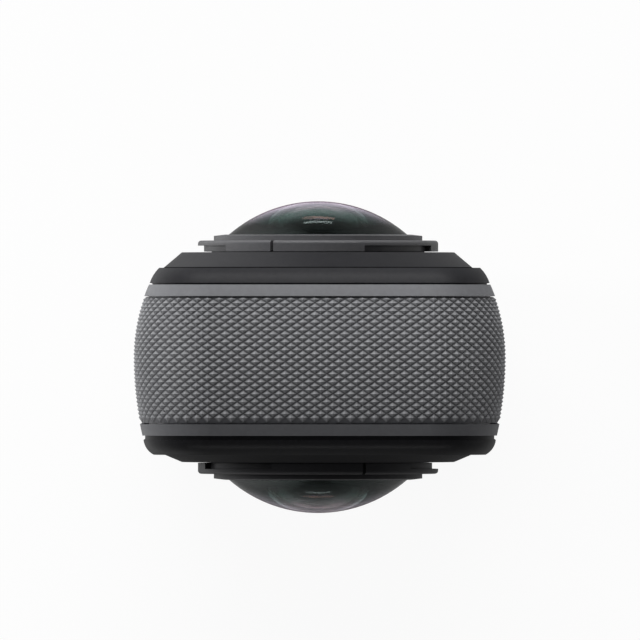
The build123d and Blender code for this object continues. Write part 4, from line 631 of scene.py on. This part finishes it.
def knurled_ring(name):
    """The whole grip ring, with pyramids outside and a flat wall inside."""
    vertices, faces, peaks = [], [], []
    around, step = 2 * COLUMNS, perimeter / (2 * COLUMNS)
    rows = [band_place(row) for row in range(ROWS + 1)]
    for column in range(around):
        point, normal = outline_point((column + PHASE) * step)
        for row, (y, inset) in enumerate(rows):
            top = (column + row) % 2 == 0 and 0 < row < ROWS
            drop = inset + (0.0 if top else KNURL_DEPTH)
            vertices.append((point[0] - normal[0] * drop, y, point[1] - normal[1] * drop))
            peaks.append(1.0 if top else 0.0)
        wall_x, wall_z = point[0] - normal[0] * BAND_WALL, point[1] - normal[1] * BAND_WALL
        vertices += [(wall_x, BAND_FRONT, wall_z), (wall_x, BAND_REAR, wall_z)]
        peaks += [0.0, 0.0]
    height = ROWS + 3  # points of one column: its rows, then two on the wall
    for column in range(around):
        here, there = column * height, (column + 1) % around * height
        for row in range(ROWS):
            a, b, c, d = here + row, there + row, there + row + 1, here + row + 1
            if (column + row) % 2 == 0:
                faces += [(a, b, d), (b, c, d)]
            else:
                faces += [(a, b, c), (a, c, d)]
        for row, after in ((ROWS, ROWS + 1), (ROWS + 1, ROWS + 2), (ROWS + 2, 0)):
            faces.append((here + row, there + row, there + after, here + after))
    made = make(name, vertices, faces, knurled)
    attribute = made.data.attributes.new("peak", "FLOAT", "POINT")
    attribute.data.foreach_set("value", peaks)
    face_outwards(made)
    return made


# The cutters reach through a side wall of the band, from inside it to outside it
WALL_INSIDE, WALL_OUTSIDE = 20, 25
SHARP, SHARP_STEPS = 0.05, 1  # corners that are all but square

# Battery door, cut out of the same ring so that the texture runs on across it
DOOR_HALF_Y, DOOR_HALF_Z, DOOR_ROUND, DOOR_GAP = 6.7, 32.2, 3.0, 0.15
DOOR_OUTSIDE, DOOR_SKIN = -24, 1.8
band = knurled_ring("grip_band")
door = knurled_ring("battery_door_skin")
door_loop = shifted(rounded_loop(DOOR_HALF_Y, DOOR_HALF_Z, DOOR_ROUND), SIDE_Y, BAY_MIDDLE)
door_shape = prism("door_shape", door_loop, DOOR_OUTSIDE, -HALF_WIDTH + DOOR_SKIN, "X")
combine(door, door_shape, "INTERSECT")
window_loop = rounded_loop(DOOR_HALF_Y + DOOR_GAP, DOOR_HALF_Z + DOOR_GAP, DOOR_ROUND + DOOR_GAP)
window_loop = shifted(window_loop, SIDE_Y, BAY_MIDDLE)
door_window = prism("door_window", window_loop, -WALL_OUTSIDE, -WALL_INSIDE, "X")
combine(band, door_window, "DIFFERENCE")

# Sliders' places in the battery door: recesses and stem slots at both ends
LATCH_START, STEM, TRAVEL = 27.0, 1.2, 1.8
SLIDER_WIDTH, SLIDER_HEIGHT, SLIDER_ROOM = 8.0, 3.0, 0.6
recess_half_y = (SLIDER_WIDTH + SLIDER_ROOM) / 2
recess_half_z = (SLIDER_HEIGHT + TRAVEL + SLIDER_ROOM) / 2
RECESS_FLOOR, STEM_FLOOR = -21.8, -20.5
STEM_HALF_Y, STEM_HALF_Z = 1.6, 1.7
slider_places = (
    (recess_half_y, recess_half_z, RECESS_FLOOR), (STEM_HALF_Y, STEM_HALF_Z, STEM_FLOOR),
)
for end in (-1, 1):
    middle = BAY_MIDDLE + end * (LATCH_START + STEM / 2 + TRAVEL / 2)
    for half_y, half_z, inner in slider_places:
        loop = shifted(rounded_loop(half_y, half_z, SHARP, SHARP_STEPS), SIDE_Y, middle)
        combine(door, prism("slider_place", loop, -WALL_OUTSIDE, inner, "X"), "DIFFERENCE")

# Openings on the other side: the USB door's, with its nail notch and hinge, and the side keys'
HINGE_X, HINGE_Z, HINGE_POCKET = 21.8, 70.0, 1.38
PIN_HOLE, PIN_HALF_Y, CIRCLE_STEPS = 0.45, 5.38, 40
USB_TOP, USB_GAP, USB_HALF_Y, USB_ROUND = 82.6, 0.18, 4.48, 1.78
NOTCH_HALF_Y, NOTCH_HALF_Z = 2.5, 0.8
KEY_HALF_Y, KEY_HALF_Z, KEY_ROUND, KEY_STEPS, KEY_HEIGHTS = 2.05, 4.65, 2.04, 10, (59.6, 47.4)
usb_low, usb_high = HINGE_Z - HINGE_POCKET, USB_TOP + USB_GAP
usb_loop = shifted(
    rounded_loop(USB_HALF_Y, (usb_high - usb_low) / 2, USB_ROUND), SIDE_Y, (usb_low + usb_high) / 2
)
notch_loop = rounded_loop(NOTCH_HALF_Y, NOTCH_HALF_Z, SHARP, SHARP_STEPS)
notch_loop = shifted(notch_loop, SIDE_Y, usb_high)
for name, loop in (("usb_window", usb_loop), ("nail_notch", notch_loop)):
    combine(band, prism(name, loop, WALL_INSIDE, WALL_OUTSIDE, "X"), "DIFFERENCE")
for radius, half_y in ((HINGE_POCKET, USB_HALF_Y), (PIN_HOLE, PIN_HALF_Y)):
    turns = [math.tau * step / CIRCLE_STEPS for step in range(CIRCLE_STEPS)]
    circle = [(HINGE_X + radius * math.cos(t), HINGE_Z + radius * math.sin(t)) for t in turns]
    hinge_place = prism("hinge_place", circle, SIDE_Y - half_y, SIDE_Y + half_y, "Y")
    combine(band, hinge_place, "DIFFERENCE")
for height in KEY_HEIGHTS:
    loop = shifted(rounded_loop(KEY_HALF_Y, KEY_HALF_Z, KEY_ROUND, KEY_STEPS), SIDE_Y, height)
    combine(band, prism("button_window", loop, WALL_INSIDE, WALL_OUTSIDE, "X"), "DIFFERENCE")

# The base plate's window, and the flat cut that the camera stands on
BASE_HALF_X, BASE_HALF_Y, BASE_ROUND, BASE_LOW, BASE_HIGH = 16.1, 6.3, 3.1, -3, 2
CUT_HALF_X, CUT_HALF_Y, CUT_LOW = 40, 20, -5
base_loop = shifted(rounded_loop(BASE_HALF_X, BASE_HALF_Y, BASE_ROUND), 0, SIDE_Y)
combine(band, prism("base_window", base_loop, BASE_LOW, BASE_HIGH, "Z"), "DIFFERENCE")
cut_loop = [(a * CUT_HALF_X, b * CUT_HALF_Y) for a, b in ((-1, -1), (1, -1), (1, 1), (-1, 1))]
combine(band, prism("base_cut", cut_loop, CUT_LOW, 0, "Z"), "DIFFERENCE")
for piece in (band, door):
    piece.data.shade_flat()
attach(band, "camera")
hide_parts("knurled_band")
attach(door, "battery")
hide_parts("battery_door")

# Threaded insert in the base: a neck, a wider body and a blind threaded bore
PITCH, CORE_RADIUS, THREAD_LOW, THREAD_HIGH = 1.27, 2.6, 0.7, 6.7
THREAD_DEPTH, THREAD_FLANK = 0.55, 2.6
BORE_LOW, BORE_STEP, BORE_POINTS, BORE_TOP = 0.65, 0.127, 49, 6.75
INSERT_FOOT, INSERT_SHOULDER, INSERT_TOP = 0.15, 0.95, 7.55
NECK_RADIUS, INSERT_RADIUS, MOUTH_RADIUS, INSERT_STEPS = 3.6, 5.0, 3.1, 72


def thread(radius, height, angle):
    """Groove of the tripod thread, cut outwards from its core radius."""
    if radius != CORE_RADIUS or not THREAD_LOW < height < THREAD_HIGH:
        return radius
    turn = (height / PITCH + angle / math.tau) % 1
    return radius + THREAD_DEPTH * max(0.0, 1 - abs(turn - 0.5) * THREAD_FLANK)


bore = [(CORE_RADIUS, BORE_LOW + BORE_STEP * step) for step in range(BORE_POINTS)]
insert_profile = [
    (NECK_RADIUS, INSERT_FOOT), (NECK_RADIUS, INSERT_SHOULDER), (INSERT_RADIUS, INSERT_SHOULDER),
    (INSERT_RADIUS, INSERT_TOP), (0, INSERT_TOP), (0, BORE_TOP),
    *bore[::-1], (MOUTH_RADIUS, INSERT_FOOT),
]
insert = lathe("threaded_insert", insert_profile, steel, INSERT_STEPS, thread)
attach(insert, "camera")
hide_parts("tripod_insert")


# Studio: floor, world and soft lights, with the key light from the photograph's top
FLOOR_HALF, FLOOR_WHITE, FLOOR_SPREAD, FLOOR_CELLS = 3000, (0.86, 0.86, 0.86), 0.01, 40
GLOSS_WIDTH = 0.24  # metres of floor over which the level in gloss goes from left to right
WORLD_STRENGTH = 0.085
LIGHT_AIM = (0, 0, 90)


def background_share(tree):
    """Three sockets: 1 for rays from the camera, in gloss or through glass; the same without
    gloss; and the light path's outputs."""
    path = tree.nodes.new("ShaderNodeLightPath").outputs
    seen = math_node(tree, "MAXIMUM", path["Is Camera Ray"], path["Is Transmission Ray"])
    return math_node(tree, "MAXIMUM", seen, path["Is Glossy Ray"]), seen, path


def studio_floor():
    """A pale floor that keeps a faint shadow near the object and is white far away.
    In gloss it shows dimmer, with its own level from left to right."""
    half = FLOOR_HALF
    corners = [(-half, -half, 0), (half, -half, 0), (half, half, 0), (-half, half, 0)]
    floor = make("floor", corners, [(0, 1, 2, 3)], deep_black)
    material, tree, _ = new_material("floor_white")
    tree.nodes.clear()
    share, seen, path = background_share(tree)
    diffuse = tree.nodes.new("ShaderNodeBsdfDiffuse")
    dark, light = shades(FLOOR_WHITE, FLOOR_SPREAD)
    mottled = ramp(tree, noise(tree, FLOOR_CELLS), ((DARK_STOP, dark), (LIGHT_STOP, light)))
    tree.links.new(mottled, diffuse.inputs["Color"])
    glow = tree.nodes.new("ShaderNodeEmission")
    glow.inputs["Color"].default_value = WHITE
    coordinates = tree.nodes.new("ShaderNodeTexCoord").outputs["Object"]
    across = math_node(tree, "DIVIDE", split_axes(tree, coordinates)["X"], GLOSS_WIDTH)
    across = math_node(tree, "ADD", across, 0.5)
    sides = levels(tree, across, ((0.05, 0.85), (0.30, 0.24), (0.70, 0.20), (0.95, 0.40)))
    in_gloss = math_node(tree, "MULTIPLY", path["Is Glossy Ray"], sides)
    tree.links.new(math_node(tree, "MAXIMUM", seen, in_gloss), glow.inputs["Strength"])
    length = tree.nodes.new("ShaderNodeVectorMath")
    length.operation = "LENGTH"
    tree.links.new(coordinates, length.inputs[0])
    far = levels(tree, length.outputs["Value"], ((0.15, 0.93), (0.6, 1.0)))
    amount = math_node(tree, "MULTIPLY", share, far)
    result = mix_shader(tree, amount, diffuse.outputs[0], glow.outputs[0])
    output = tree.nodes.new("ShaderNodeOutputMaterial")
    tree.links.new(result, output.inputs["Surface"])
    floor.data.materials.clear()
    floor.data.materials.append(material)


def studio_world():
    """White where the camera sees it, brighter at the horizon than overhead in gloss and
    through glass, and dim as a light."""
    world = bpy.data.worlds.new("studio")
    scene.world = world
    world.use_nodes = True
    tree = world.node_tree
    tree.nodes.clear()
    share, _, path = background_share(tree)
    direction = tree.nodes.new("ShaderNodeTexCoord").outputs["Generated"]
    sky = ramp(
        tree, split_axes(tree, direction)["Z"],
        (
            (0.0, (0.40, 0.40, 0.40)), (0.12, (0.40, 0.40, 0.41)),
            (0.35, (0.20, 0.20, 0.21)), (1.0, (0.10, 0.10, 0.105)),
        ),
    )
    light = tree.nodes.new("ShaderNodeBackground")
    light.inputs["Strength"].default_value = WORLD_STRENGTH
    light.inputs["Color"].default_value = WHITE
    mirrored = tree.nodes.new("ShaderNodeBackground")
    tree.links.new(sky, mirrored.inputs["Color"])
    white = tree.nodes.new("ShaderNodeBackground")
    white.inputs["Color"].default_value = WHITE
    result = mix_shader(tree, share, light.outputs[0], mirrored.outputs[0])
    result = mix_shader(tree, path["Is Camera Ray"], result, white.outputs[0])
    output = tree.nodes.new("ShaderNodeOutputWorld")
    tree.links.new(result, output.inputs["Surface"])


def soft_light(name, place, size, watts, mirrored=False):
    """A soft panel that faces the object, and shows in gloss and through glass if mirrored.
    Its place and size are in millimetres."""
    data = bpy.data.lights.new(name, "AREA")
    data.shape = "RECTANGLE"
    data.size, data.size_y = size[0] * MM, size[1] * MM
    data.energy = watts
    lamp = bpy.data.objects.new(name, data)
    lamp.location = Vector(place) * MM
    lamp.rotation_euler = (Vector(LIGHT_AIM) - Vector(place)).to_track_quat("-Z", "Y").to_euler()
    lamp.visible_camera = False
    lamp.visible_glossy = lamp.visible_transmission = mirrored
    scene.collection.objects.link(lamp)


studio_floor()
studio_world()
soft_light("key_light", (-240, 1180, 440), (1500, 320), 19)
soft_light("left_light", (-1100, 160, 380), (300, 600), 8.0)
soft_light("right_light", (1150, 200, 380), (300, 600), 1.0)
soft_light("strip_light", (0, 900, 700), (1300, 130), 5.5, mirrored=True)
soft_light("rear_strip", (0, -900, 700), (1200, 70), 1.5, mirrored=True)
